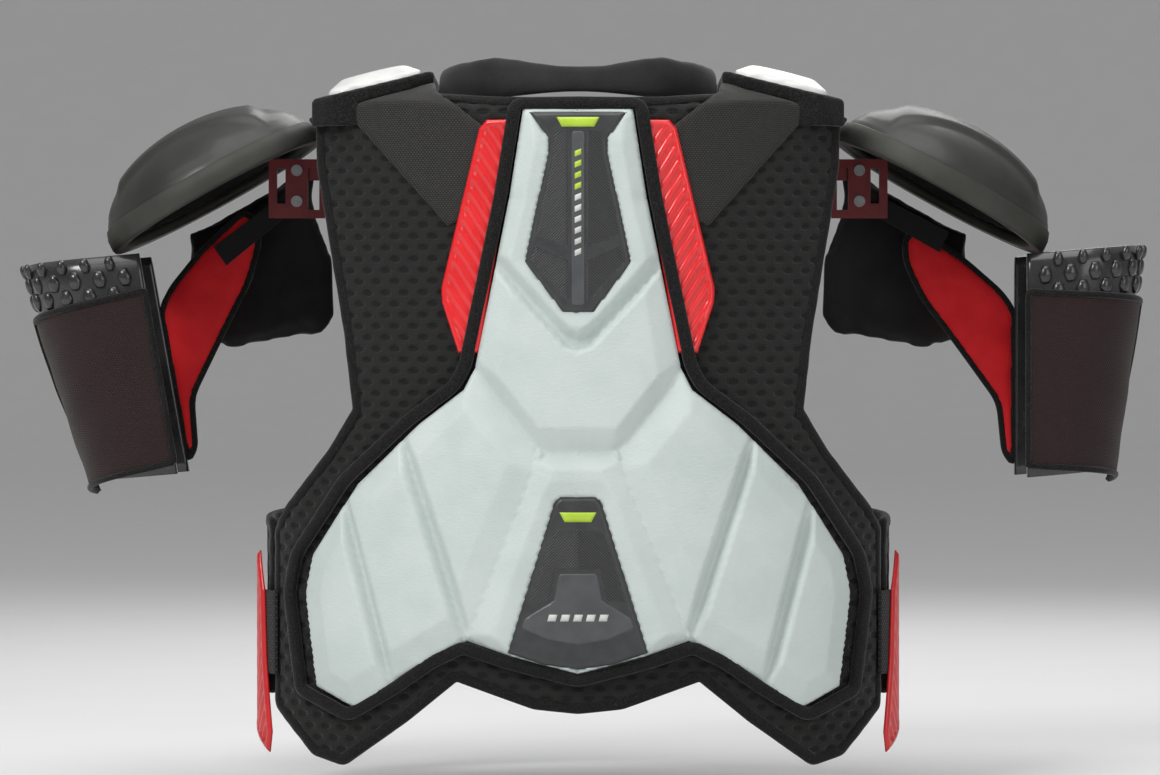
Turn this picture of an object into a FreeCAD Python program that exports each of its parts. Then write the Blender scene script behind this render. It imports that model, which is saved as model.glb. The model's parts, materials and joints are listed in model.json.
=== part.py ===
"""Hockey shoulder pads: a padded vest, two floating shoulder caps and two bicep guards.

Sizes are millimetres.  +X is the wearer's right, +Y the wearer's front, +Z up.  Outlines are
drawn with heights measured up from the lowest point of the back hem; every finished piece is
then lowered by rest_height, which puts the origin level with the tops of the wearer's
shoulders, midway between them.
"""
import FreeCAD
import Part
import os

import Sketcher

Vector = FreeCAD.Vector
Rotation = FreeCAD.Rotation
Placement = FreeCAD.Placement

# ---------------------------------------------------------------- driving dimensions
SIZES = {
    # the wearer's torso that the vest is built round
    "torso_half_depth": 128, "back_radius": 281, "flank_radius": 75,
    "shoulder_top": 484, "shoulder_slope": 13.5, "shoulder_round": 50, "rest_height": 450,
    # walls, counted outwards from the torso
    "liner_wall": 6, "seam_gap": 0.2, "foam_wall": 11.8, "edge_tape": 8,
    "foam_tape": 8, "foam_tape_wall": 6.8, "plate_depth": 6, "plate_proud": 0.5, "plate_gap": 0.4,
    "tab_wall": 1, "rail_wall": 4.3, "rail_gap": 1.2, "patch_wall": 1, "arch_wall": 13.8,
    "arch_tape": 7, "arch_tape_wall": 8.8, "body_gap": 0.4,
    # where front and back meet
    "back_wing_end": 34, "chest_wing_end": 30, "hinge_front": 70, "hinge_gap": 0.5,
    "flank_low": 45, "flank_high": 168,
    # neck
    "collar_half": 97, "collar_reach": 112, "collar_centre": 20, "collar_wall": 11,
    "collar_low": 455.5, "collar_high": 483, "collar_front": 60,
    # shoulder arch, in plan
    "arch_inner": 99, "arch_outer": 182, "arch_back": 92, "arch_corner": 14, "arch_low": 438,
    # side strap, its hook and loop, and the ribbed wing on it
    "strap_pivot": 44, "strap_end": 2, "strap_low": 60, "strap_high": 118, "strap_wall": 2,
    "fastener_wall": 0.6, "fastener_margin": 4, "wing_wall": 3,
    # slotted bracket that the cap and the bicep guard hang from
    "bracket_left": 180, "bracket_width": 40, "bracket_low": 379, "bracket_height": 42,
    "bracket_wall": 2.4, "bracket_forward": 37, "slot_margin": 4, "slot_inner": 8,
    "bar_width": 16, "slot_outer": 6, "slot_inner_height": 30, "slot_outer_height": 25,
    "rivet_radius": 2, "rivet_head": 4, "rivet_head_wall": 1.4, "rivet_fit": 0.1,
    "rivet_high": 413, "rivet_low": 391, "hanger_wall": 2, "hanger_gap": 0.6,
    "hanger_half_height": 7, "tab_left": 170, "tab_width": 13,
    # shoulder cap
    "cap_centre_x": 255.5, "cap_centre_z": 398, "cap_tilt": 29, "cap_long": 81,
    "cap_half_width": 88, "cap_height": 46, "cap_wall": 4, "cap_liner_wall": 8,
    "cap_rim_height": 6, "cap_rim_wall": 8, "flap_back": 78, "flap_wall": 7,
    # bicep guard, its front pad and the wrap that closes round its back
    "guard_top": 351, "guard_bottom": 197, "guard_half_depth": 50, "guard_wall": 9,
    "guard_top_inner": 308, "guard_top_round": 344, "guard_bottom_inner": 294.5,
    "guard_bottom_round": 308, "ear_wall": 8, "ear_tape": 6, "wrap_wall": 2.5, "wrap_gap": 1.5,
    "wrap_front": 8, "wrap_hook_width": 12, "left_guard_tilt": -5, "right_guard_tilt": 5,
    "left_guard_drop": -9.5, "right_guard_drop": 9.5,
}

# Outline corners as (name, across, up), right-hand half for pieces that lie on the middle line.
OUTLINES = {
    "back": [("hem_mid", -20, 37), ("hem_dip", 30, 42), ("hem_side", 82, 60), ("wing_in", 116, 32),
             ("wing_low", 160, 0), ("wing_toe", 181, 6), ("wing_corner", 207, 36),
             ("wing_side", 232, 70), ("wing_top", 232, 150), ("flare", 200, 178),
             ("waist_low", 170, 216), ("waist", 153, 244), ("arm_low", 159, 296),
             ("arm_mid", 168, 350), ("arm_high", 178, 410), ("shoulder_out", 181, 520),
             ("shoulder_in", 98, 520), ("neck_side", 98, 458), ("neck_turn", 58, 455.3),
             ("neck_mid", -20, 454)],
    "foam": [("top_mid", 0, 446), ("top", 38, 446), ("neck", 47.5, 386), ("ribs", 59, 330),
             ("waist", 71, 272), ("flare_in", 79, 257), ("flare_out", 110, 234),
             ("wing_top", 154, 193), ("wing_turn", 187, 143), ("wing_side", 192, 118),
             ("wing_foot", 184, 54), ("wing_toe", 155, 40), ("wing_heel", 127, 57),
             ("hem", 99, 77), ("hem_notch", 77, 88), ("frame_foot", 47, 78), ("mid_foot", 0, 66)],
    "upper_plate": [("top_mid", 0, 443.5), ("top", 33, 443.5), ("neck_high", 20, 426),
                    ("neck_low", 20, 415), ("shoulder", 27.6, 382), ("hip", 36, 343),
                    ("toe", 10, 309), ("toe_mid", 0, 309)],
    "lower_plate": [("top_mid", 0, 185), ("top", 12.5, 185), ("corner", 16, 181),
                    ("foot", 47.5, 80.5), ("foot_turn", 24, 73), ("foot_mid", 0, 69.5)],
    "upper_tab": [("high_mid", 0, 440), ("high", 14.5, 440), ("low", 11, 433.5),
                  ("low_mid", 0, 433.5)],
    "lower_tab": [("high_mid", 0, 175), ("high", 12.5, 175), ("low", 9, 168.5),
                  ("low_mid", 0, 168.5)],
    "rail": [("inner_top", 40, 439), ("outer_top", 61, 439), ("shoulder", 66, 433),
             ("elbow", 91.5, 326), ("turn", 91, 316), ("toe", 80, 282), ("inner_toe", 66, 282)],
    "patch": [("arm", 160, 449), ("neck", 104, 466), ("rail_top", 60, 432), ("rail_low", 78, 372),
              ("low", 88, 368)],
    "chest": [("hem_mid", -20, 54), ("hem_side", 110, 46), ("flank_low", 190, 44),
              ("flank_side", 232, 52), ("flank_top", 232, 165), ("flare", 196, 182),
              ("waist", 160, 214), ("arm_low", 148, 262), ("arm_mid", 150, 330),
              ("arm_high", 158, 395), ("arm_top", 178, 428), ("shoulder_out", 181, 520),
              ("shoulder_in", 98, 520),
              ("neck_side", 98, 452), ("neck_turn", 66, 400), ("neck_mid", -20, 380)],
    "chest_pad": [("neck_low", 36, 374), ("neck_side", 64, 388), ("collar", 96, 424),
                  ("shoulder", 120, 434), ("arm_top", 156, 418), ("arm", 148, 360),
                  ("arm_low", 136, 300), ("arm_turn", 138, 258), ("flank", 172, 196),
                  ("flank_out", 180, 150), ("flank_foot", 168, 100), ("belly_out", 118, 84),
                  ("belly_in", 84, 214), ("sternum_low", 26, 240)],
    "sternum": [("top_mid", 0, 368), ("top", 22, 368), ("hip", 30, 330), ("side", 22, 262),
                ("toe", 9, 242), ("toe_mid", 0, 242)],
    "sternum_tab": [("high_mid", 0, 361), ("high", 12, 361), ("low", 9, 355), ("low_mid", 0, 355)],
    "belly": [("top_mid", 0, 226), ("top", 70, 204), ("side", 104, 90), ("foot", 88, 62),
              ("foot_mid", 0, 66)],
    "cap_flap": [("hinge_in", 190, 424), ("hinge_out", 284, 371), ("side", 287, 308),
                 ("toe_out", 272, 290), ("toe", 250, 283), ("toe_in", 182, 295),
                 ("side_in", 173, 309), ("bay", 172, 350), ("bay_high", 185, 385)],
    "ear": [("tip", 232, 371), ("crest", 240, 377), ("shoulder", 271, 353), ("brow", 296, 327),
            ("guard_top", 304, 313), ("guard_foot", 294.4, 205), ("cuff", 289, 214),
            ("cuff_top", 288.5, 250), ("belly", 261, 296), ("throat", 241, 328),
            ("cheek", 231, 355)],
    "wrap": [("inner_top", 307.7, 325), ("outer_top", 420, 311), ("outer_foot", 400, 189),
             ("inner_foot", 293.7, 205.5)],
    "hanger": [("rivet_high", 193, 398), ("rivet_side", 208, 398), ("ear_high", 262, 364),
               ("ear_low", 254, 350), ("strap_low", 205, 384), ("rivet_low", 193, 384)],
    # seen from the side: forwards, up
    "wing": [("crest", -16, 145), ("front_top", 10, 128), ("front", 14, 80), ("front_low", 4, 24),
             ("toe", -40, 6), ("back_low", -43, 20), ("back", -34, 70), ("back_high", -30, 118)],
}

doc = FreeCAD.newDocument("shoulder_pads")
sheet = doc.addObject("Spreadsheet::Sheet", "Sizes")


def fill_sheet():
    """One row per size: its name, then its value in an aliased cell."""
    rows = dict(SIZES)
    for outline, corners in OUTLINES.items():
        for corner, across, up in corners:
            rows[f"{outline}_{corner}_across"] = across
            rows[f"{outline}_{corner}_up"] = up
    for row, (name, value) in enumerate(rows.items(), start=1):
        sheet.set(f"A{row}", name)
        sheet.set(f"B{row}", str(value))
        sheet.setAlias(f"B{row}", name)
    doc.recompute()


def size(name):
    """A size as it now stands in the sheet."""
    return float(sheet.get(name))


# ---------------------------------------------------------------- helpers
def add(kind, name, **settings):
    """An object of the document; settings that are text are expressions on the sheet's cells."""
    made = doc.addObject(kind, name)
    for prop, value in settings.items():
        prop = prop.replace("__", ".")
        if isinstance(value, str):
            made.setExpression(prop, value)
        else:
            setattr(made, prop, value)
    return made


def sketch_on(name, corners, upright="front"):
    """A closed outline through corners, each given as a pair of expressions.
    upright "front" draws across X and up Z, "side" along Y and up Z, "plan" along X and Y."""
    made = doc.addObject("Sketcher::SketchObject", name)
    turn = {"front": Rotation(Vector(1, 0, 0), 90), "plan": Rotation(),
            "side": Rotation(Vector(1, 1, 1), 120)}[upright]
    made.Placement = Placement(Vector(), turn)
    count = len(corners)
    at = [tuple(float(sheet.evalExpression(e)) for e in corner) for corner in corners]
    for i in range(count):
        here, there = at[i], at[(i + 1) % count]
        made.addGeometry(Part.LineSegment(Vector(*here, 0), Vector(*there, 0)), False)
    for i in range(count):
        made.addConstraint(Sketcher.Constraint("Coincident", i, 2, (i + 1) % count, 1))
    for i, (across, up) in enumerate(corners):
        for axis, expression, value in (("X", across, at[i][0]), ("Y", up, at[i][1])):
            index = made.addConstraint(
                Sketcher.Constraint(f"Distance{axis}", -1, 1, i, 1, value))
            made.setExpression(f"Constraints[{index}]", expression)
    return made


def corners_of(outline):
    return [(f"Sizes.{outline}_{c}_across", f"Sizes.{outline}_{c}_up")
            for c, _, _ in OUTLINES[outline]]


def outline_sketch(outline, upright="front"):
    return sketch_on(outline + "_outline", corners_of(outline), upright)


def prism(name, profile, along, start, end):
    """A profile pushed from start to end (expressions) along an axis."""
    made = add("Part::Extrusion", name, LengthFwd=end, LengthRev=f"-({start})")
    made.Base = profile
    made.DirMode = "Custom"
    made.Dir = along
    made.Solid = True
    return made


def grown(name, profile, by):
    """The outline moved outwards by an expression, with its corners kept sharp."""
    made = add("Part::Offset2D", name, Value=by)
    made.Source = profile
    made.Join = "Intersection"
    return made


def ring(name, profile, by):
    """The band between an outline and the same outline moved by an expression."""
    made = grown(name, profile, by)
    made.Fill = True
    return made


def common(name, *shapes):
    made = doc.addObject("Part::MultiCommon", name)
    made.Shapes = list(shapes)
    return made


def fuse(name, *shapes):
    made = doc.addObject("Part::MultiFuse", name)
    made.Shapes = list(shapes)
    made.Refine = True
    return made


def cut(name, base, tool):
    made = doc.addObject("Part::Cut", name)
    made.Base = base
    made.Tool = tool
    return made


def mirrored(name, source):
    made = doc.addObject("Part::Mirroring", name)
    made.Source = source
    made.Normal = Vector(1, 0, 0)
    return made


parts = {}


def finish(node, made, place=None):
    """Names a finished sub-part and lowers it into the object's frame."""
    made.Label = node
    if place is None:
        made.setExpression("Placement.Base.z", "-Sizes.rest_height")
    else:
        doc.recompute()
        made.Placement = Placement(Vector(0, 0, -size("rest_height")), Rotation()) * place
    parts[node] = made


def finish_pair(node, right, left_place=None, right_place=None):
    """The right-hand piece and its mirror image."""
    left = mirrored("left_" + node + "_solid", right)
    finish("left_" + node, left, left_place)
    keep = doc.addObject("Part::Compound", "right_" + node + "_solid")
    keep.Links = [right]
    finish("right_" + node, keep, right_place)


def finish_whole(node, half):
    """A half on the middle line, joined to its mirror image."""
    finish(node, fuse(node + "_solid", half, mirrored(node + "_mirror", half)))


# ---------------------------------------------------------------- the torso and its layers
ALONG_X, ALONG_Y, ALONG_Z = Vector(1, 0, 0), Vector(0, 1, 0), Vector(0, 0, 1)
FAR = 600
torsos = {}


def torso(offset):
    """The right half of the wearer's torso grown outwards by an expression: a four-arc oval
    in plan, under shoulders that slope down from the neck and are rounded front and back."""
    if offset in torsos:
        return torsos[offset]
    tag = f"torso_{len(torsos)}"
    lens = []
    for face, sign in (("back", 1), ("front", -1)):
        drum = add("Part::Cylinder", f"{tag}_{face}", Height=FAR,
                   Radius=f"Sizes.back_radius + {offset}")
        drum.setExpression("Placement.Base.y",
                           f"{sign} * (Sizes.back_radius - Sizes.torso_half_depth)")
        lens.append(drum)
    plan = common(tag + "_lens", *lens)
    doc.recompute()
    rounded = doc.addObject("Part::Fillet", tag + "_plan")
    rounded.Base = plan
    flank = float(sheet.evalExpression(f"Sizes.flank_radius + {offset}"))
    rounded.Edges = [(i + 1, flank, flank) for i, e in enumerate(plan.Shape.Edges)
                     if abs(e.tangentAt(e.FirstParameter).z) > 0.9 and e.Length > FAR / 2
                     and abs(e.Vertexes[0].Point.x) > 50]
    block = add("Part::Box", tag + "_block", Length=FAR, Height=FAR,
                Width=f"2 * (Sizes.torso_half_depth + {offset})")
    doc.recompute()
    tops = [i + 1 for i, e in enumerate(block.Shape.Edges)
            if all(abs(v.Point.z - FAR) < 1e-6 for v in e.Vertexes)
            and abs(e.Vertexes[0].Point.y - e.Vertexes[1].Point.y) < 1e-6]
    bend = float(sheet.evalExpression(f"Sizes.shoulder_round + {offset}"))
    side = doc.addObject("Part::Fillet", tag + "_side")
    side.Base = block
    side.Edges = [(i, bend, bend) for i in tops]
    lean = Rotation(ALONG_Y, size("shoulder_slope"))
    rise = float(sheet.evalExpression(offset)) - FAR
    depth = float(sheet.evalExpression(f"Sizes.torso_half_depth + {offset}"))
    corner = lean.multVec(Vector(-FAR / 6, -depth, rise))
    side.Placement = Placement(corner + Vector(0, 0, size("shoulder_top")), lean)
    half = add("Part::Box", tag + "_half", Length=FAR, Width=2 * FAR, Height=FAR)
    half.Placement.Base = Vector(0, -FAR, 0)
    torsos[offset] = common(tag, rounded, side, half)
    return torsos[offset]


shells = {}


def shell(inner, outer):
    """The layer between two offsets from the torso, right half."""
    if (inner, outer) not in shells:
        shells[inner, outer] = cut(f"layer_{len(shells)}", torso(outer), torso(inner))
    return shells[inner, outer]


LINER_IN, LINER_OUT = "0", "Sizes.liner_wall"
SKIN = "Sizes.liner_wall + Sizes.seam_gap"
FOAM_OUT = SKIN + " + Sizes.foam_wall"
FOAM_TAPE_OUT = SKIN + " + Sizes.foam_tape_wall"
POCKET_FLOOR = FOAM_OUT + " - Sizes.plate_depth"
PLATE_IN = POCKET_FLOOR + " + Sizes.seam_gap"
PLATE_OUT = FOAM_OUT + " + Sizes.plate_proud"
TAB_IN = PLATE_OUT + " + Sizes.seam_gap"
TAB_OUT = TAB_IN + " + Sizes.tab_wall"
LOOP_OUT = "Sizes.liner_wall + Sizes.fastener_wall"
HOOK_IN = LOOP_OUT + " + Sizes.body_gap"
HOOK_OUT = HOOK_IN + " + Sizes.fastener_wall"
STRAP_OUT = HOOK_OUT + " + Sizes.strap_wall"
WING_IN = STRAP_OUT + " + Sizes.seam_gap"
WING_OUT = WING_IN + " + Sizes.wing_wall"
# ends of the columns that cut pieces out of the torso's layers, all well clear of them
BEHIND, AHEAD = "-400", "400"
SIDE_NEAR, SIDE_FAR, ABOVE = "100", "300", "600"
# how far the guard's hollow and the wrap's cutters run out past its open side
HOLLOW_PAST, SLEEVE_PAST, SLEEVE_HOLLOW_PAST = "20", "20", "30"


# ---------------------------------------------------------------- vest, back half
def taped_panel(node, outline, profile, inner, outer, start, end):
    """A liner panel and the tape that binds its edge."""
    band = prism(outline + "_band", ring(outline + "_ring", profile, "-Sizes.edge_tape"),
                 ALONG_Y, start, end)
    field = prism(outline + "_field", grown(outline + "_inset", profile, "-Sizes.edge_tape"),
                  ALONG_Y, start, end)
    finish_whole(node, common(node + "_half", field, shell(inner, outer)))
    finish_whole(node + "_binding", common(node + "_binding_half", band,
                                           shell(inner, outer)))


def inlaid(node, outline, inner, outer, start=BEHIND, end="0"):
    """A piece on the middle line that fills an outline between two offsets."""
    profile = outline_sketch(outline)
    solid = prism(outline + "_prism", profile, ALONG_Y, start, end)
    finish_whole(node, common(node + "_half", solid, shell(inner, outer)))
    return profile


def build_back():
    back = outline_sketch("back")
    taped_panel("back_liner", "back", back, LINER_IN, LINER_OUT, BEHIND,
                "-Sizes.back_wing_end")
    foam = outline_sketch("foam")
    upper = inlaid("upper_spine_plate", "upper_plate", PLATE_IN, PLATE_OUT)
    lower = inlaid("lower_spine_plate", "lower_plate", PLATE_IN, PLATE_OUT)
    pockets = [prism(f"pocket_{i}", grown(f"pocket_edge_{i}", p, "Sizes.plate_gap"),
                     ALONG_Y, BEHIND, "0") for i, p in enumerate((upper, lower))]
    pocket = common("pockets", fuse("pocket_pair", *pockets), shell(POCKET_FLOOR, TAB_OUT))
    slab = common("foam_slab", prism("foam_prism", foam, ALONG_Y, BEHIND, "0"),
                  shell(SKIN, FOAM_OUT))
    finish_whole("back_foam_panel", cut("foam_half", slab, pocket))
    tape = prism("foam_tape_band", ring("foam_tape_ring", foam, "Sizes.foam_tape"),
                 ALONG_Y, BEHIND, "0")
    half_space = add("Part::Box", "right_side", Length=FAR, Width=2 * FAR, Height=FAR)
    half_space.Placement.Base = Vector(0, -FAR, 0)
    finish_whole("back_foam_binding", common("foam_tape_half", tape, half_space,
                                             shell(SKIN, FOAM_TAPE_OUT)))
    inlaid("upper_spine_tab", "upper_tab", TAB_IN, TAB_OUT)
    inlaid("lower_spine_tab", "lower_tab", TAB_IN, TAB_OUT)
    build_rails_and_patches(foam)


def build_rails_and_patches(foam):
    """The ribbed rails beside the spine and the woven patches below the shoulders."""
    clear = prism("foam_clearance", grown("foam_clearance_edge", foam,
                  "Sizes.foam_tape + Sizes.rail_gap"), ALONG_Y, BEHIND, "0")
    rail = outline_sketch("rail")
    rail_slab = common("rail_slab", prism("rail_prism", rail, ALONG_Y, BEHIND, "0"),
                       shell(SKIN, SKIN + " + Sizes.rail_wall"))
    finish_pair("back_rail", cut("rail_solid", rail_slab, clear))
    rail_clear = prism("rail_clearance", grown("rail_clearance_edge", rail, "Sizes.rail_gap"),
                       ALONG_Y, BEHIND, "0")
    patch_slab = common("patch_slab", prism("patch_prism", outline_sketch("patch"), ALONG_Y,
                        BEHIND, "-Sizes.arch_back - Sizes.rail_gap"),
                        shell(SKIN, SKIN + " + Sizes.patch_wall"))
    finish_pair("yoke_patch", cut("patch_solid", patch_slab,
                                  fuse("patch_clearance", rail_clear, clear)))


def build_shoulders():
    """The yokes that carry the vest over the shoulders, the arch pads on them and the collar."""
    yoke = sketch_on("yoke_outline", [
        ("Sizes.arch_inner", "-Sizes.back_wing_end + Sizes.seam_gap"),
        ("Sizes.arch_outer", "-Sizes.back_wing_end + Sizes.seam_gap"),
        ("Sizes.arch_outer", "Sizes.hinge_front"), ("Sizes.arch_inner", "Sizes.hinge_front")],
        "plan")
    low, high = "Sizes.arch_low", ABOVE
    finish_pair("shoulder_yoke", common("yoke_solid", prism("yoke_prism", yoke, ALONG_Z, low, high),
                                        shell(LINER_IN, LINER_OUT)))
    arch = sketch_on("arch_outline", [
        ("Sizes.arch_inner", "-Sizes.arch_back + Sizes.arch_corner"),
        ("Sizes.arch_inner + Sizes.arch_corner", "-Sizes.arch_back"),
        ("Sizes.arch_outer - Sizes.arch_corner", "-Sizes.arch_back"),
        ("Sizes.arch_outer", "-Sizes.arch_back + Sizes.arch_corner"),
        ("Sizes.arch_outer", "Sizes.hinge_front"), ("Sizes.arch_inner", "Sizes.hinge_front")],
        "plan")
    band = prism("arch_band", ring("arch_ring", arch, "-Sizes.arch_tape"), ALONG_Z, low, high)
    field = prism("arch_field", grown("arch_inset", arch, "-Sizes.arch_tape"), ALONG_Z, low, high)
    finish_pair("shoulder_arch", common("arch_solid", field,
                                        shell(SKIN, SKIN + " + Sizes.arch_wall")))
    finish_pair("arch_binding", common("arch_tape_solid", band,
                                       shell(SKIN, SKIN + " + Sizes.arch_tape_wall")))
    build_collar()


def oval_column(name, half_x, half_y, centre_y, low, high):
    """An upright elliptical column; sizes are expressions."""
    oval = add("Part::Ellipse", name + "_edge", MajorRadius=half_y, MinorRadius=half_x)
    oval.Placement = Placement(Vector(), Rotation(ALONG_Z, 90))
    oval.setExpression("Placement.Base.y", centre_y)
    return prism(name, oval, ALONG_Z, low, high)


def build_collar():
    outer = oval_column("collar_outer", "Sizes.collar_half", "Sizes.collar_reach",
                        "-Sizes.collar_centre", "Sizes.collar_low", "Sizes.collar_high")
    inner = oval_column("collar_inner", "Sizes.collar_half - Sizes.collar_wall",
                        "Sizes.collar_reach - Sizes.collar_wall", "-Sizes.collar_centre",
                        "Sizes.collar_low", "Sizes.collar_high")
    front = add("Part::Box", "collar_front_end", Length=2 * FAR, Width=FAR, Height=FAR)
    front.Placement.Base = Vector(-FAR, 0, 0)
    front.setExpression("Placement.Base.y", "Sizes.collar_front")
    finish("collar", cut("collar_solid", cut("collar_ring", outer, inner), front))


# ---------------------------------------------------------------- vest, front half
def build_chest():
    """The chest panel, whose side wings reach back under the side straps."""
    chest = outline_sketch("chest")
    start = "Sizes.hinge_front + Sizes.hinge_gap"
    rear, fore = "-Sizes.chest_wing_end", "Sizes.hinge_front + 10"
    low, high = "Sizes.flank_low", "Sizes.flank_high"
    flank = sketch_on("flank_outline", [(rear, low), (fore, low), (fore, high), (rear, high)],
                      "side")
    side_wing = prism("chest_side_wing", flank, ALONG_X, "Sizes.back_wing_end", SIDE_FAR)
    field = prism("chest_field", grown("chest_inset", chest, "-Sizes.edge_tape"), ALONG_Y, start,
                  AHEAD)
    band = prism("chest_band", ring("chest_ring", chest, "-Sizes.edge_tape"), ALONG_Y, start,
                 AHEAD)
    layer = shell(LINER_IN, LINER_OUT)
    finish_whole("chest_liner_binding", common("chest_binding_half", band, layer))
    region = cut("chest_region", fuse("chest_area", field, side_wing), band)
    finish_whole("chest_liner", common("chest_liner_half", region, layer))
    pad = prism("chest_pad_prism", outline_sketch("chest_pad"), ALONG_Y, "0", AHEAD)
    finish_pair("chest_pad", common("chest_pad_solid", pad, shell(SKIN, FOAM_OUT)))
    inlaid("sternum_plate", "sternum", SKIN, PLATE_IN, "0", AHEAD)
    inlaid("sternum_tab", "sternum_tab", PLATE_IN + " + Sizes.seam_gap",
           PLATE_IN + " + Sizes.seam_gap + Sizes.tab_wall", "0", AHEAD)
    inlaid("belly_pad", "belly", SKIN, FOAM_TAPE_OUT, "0", AHEAD)


# ---------------------------------------------------------------- side straps
def build_side_straps():
    def side_piece(name, back, front, low, high, inner, outer):
        profile = sketch_on(name + "_outline", [(back, low), (front, low), (front, high),
                                                (back, high)], "side")
        return common(name + "_solid", prism(name + "_prism", profile, ALONG_X, SIDE_NEAR, SIDE_FAR),
                      shell(inner, outer))
    low, high = "Sizes.strap_low", "Sizes.strap_high"
    inset = (low + " + Sizes.fastener_margin", high + " - Sizes.fastener_margin")
    reach = ("-Sizes.chest_wing_end + 2", "-Sizes.fastener_margin")
    finish_pair("side_strap", side_piece("side_strap", "-Sizes.strap_pivot", "Sizes.strap_end",
                                         low, high, HOOK_OUT, STRAP_OUT))
    finish_pair("strap_hook", side_piece("strap_hook", *reach, *inset, HOOK_IN, HOOK_OUT))
    finish_pair("chest_loop", side_piece("chest_loop", *reach, *inset, LINER_OUT, LOOP_OUT))
    wing = prism("wing_prism", outline_sketch("wing", "side"), ALONG_X, SIDE_NEAR, SIDE_FAR)
    finish_pair("side_wing", common("wing_solid", wing, shell(WING_IN, WING_OUT)))


# ---------------------------------------------------------------- bracket between vest and cap
def box_body(name, left, width, low, height, wall):
    """A PartDesign plate that stands across Y, drawn as a rectangle; sizes are expressions."""
    body = doc.addObject("PartDesign::Body", name)
    drawn = body.newObject("Sketcher::SketchObject", name + "_outline")
    plane = next(f for f in body.Origin.OriginFeatures if f.Role == "XZ_Plane")
    drawn.AttachmentSupport = [(plane, "")]
    drawn.MapMode = "FlatFace"
    rectangle(drawn, left, low, width, height)
    pad = body.newObject("PartDesign::Pad", name + "_pad")
    pad.Profile = drawn
    pad.Midplane = True
    pad.setExpression("Length", wall)
    doc.recompute()
    return body, plane


def rectangle(drawn, left, low, width, height):
    """Adds a rectangle to a sketch, placed and sized by expressions."""
    first = drawn.GeometryCount
    x0, z0, w, h = (float(sheet.evalExpression(e)) for e in (left, low, width, height))
    at = [(x0, z0), (x0 + w, z0), (x0 + w, z0 + h), (x0, z0 + h)]
    for i in range(4):
        drawn.addGeometry(Part.LineSegment(Vector(*at[i], 0), Vector(*at[(i + 1) % 4], 0)), False)
    for i in range(4):
        drawn.addConstraint(Sketcher.Constraint("Coincident", first + i, 2,
                                                first + (i + 1) % 4, 1))
        kind = "Horizontal" if i % 2 == 0 else "Vertical"
        drawn.addConstraint(Sketcher.Constraint(kind, first + i))
    for constraint, expression in (
            (Sketcher.Constraint("DistanceX", -1, 1, first, 1, x0), left),
            (Sketcher.Constraint("DistanceY", -1, 1, first, 1, z0), low),
            (Sketcher.Constraint("DistanceX", first, 1, first, 2, w), width),
            (Sketcher.Constraint("DistanceY", first + 1, 1, first + 1, 2, h), height)):
        index = drawn.addConstraint(constraint)
        drawn.setExpression(f"Constraints[{index}]", expression)


def pocket(body, plane, name, shapes):
    """Cuts rectangles or circles right through a plate body."""
    drawn = body.newObject("Sketcher::SketchObject", name + "_outline")
    drawn.AttachmentSupport = [(plane, "")]
    drawn.MapMode = "FlatFace"
    for shape in shapes:
        if len(shape) == 4:
            rectangle(drawn, *shape)
        else:
            circle(drawn, *shape)
    made = body.newObject("PartDesign::Pocket", name)
    made.Profile = drawn
    made.Type = 1
    made.Midplane = True
    doc.recompute()
    return made


def circle(drawn, across, up, radius):
    """Adds a circle to a sketch, placed and sized by expressions."""
    x, z, r = (float(sheet.evalExpression(e)) for e in (across, up, radius))
    first = drawn.addGeometry(Part.Circle(Vector(x, z, 0), Vector(0, 0, 1), r), False)
    for constraint, expression in (
            (Sketcher.Constraint("DistanceX", -1, 1, first, 3, x), across),
            (Sketcher.Constraint("DistanceY", -1, 1, first, 3, z), up),
            (Sketcher.Constraint("Radius", first, r), radius)):
        index = drawn.addConstraint(constraint)
        drawn.setExpression(f"Constraints[{index}]", expression)


SLOT_LEFT = "Sizes.bracket_left + Sizes.slot_margin"
BAR_LEFT = SLOT_LEFT + " + Sizes.slot_inner"
BAR_MIDDLE = BAR_LEFT + " + Sizes.bar_width / 2"
OUTER_SLOT = BAR_LEFT + " + Sizes.bar_width"
BRACKET_MID = "Sizes.bracket_low + Sizes.bracket_height / 2"
BRACKET_BACK = "Sizes.bracket_forward - Sizes.bracket_wall / 2"
BRACKET_FRONT = "Sizes.bracket_forward + Sizes.bracket_wall / 2"
HANGER_BACK = BRACKET_FRONT + " + Sizes.hanger_gap"
HANGER_FRONT = HANGER_BACK + " + Sizes.hanger_wall"
HANGER_FIT = "Sizes.rivet_radius + Sizes.rivet_fit"


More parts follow.
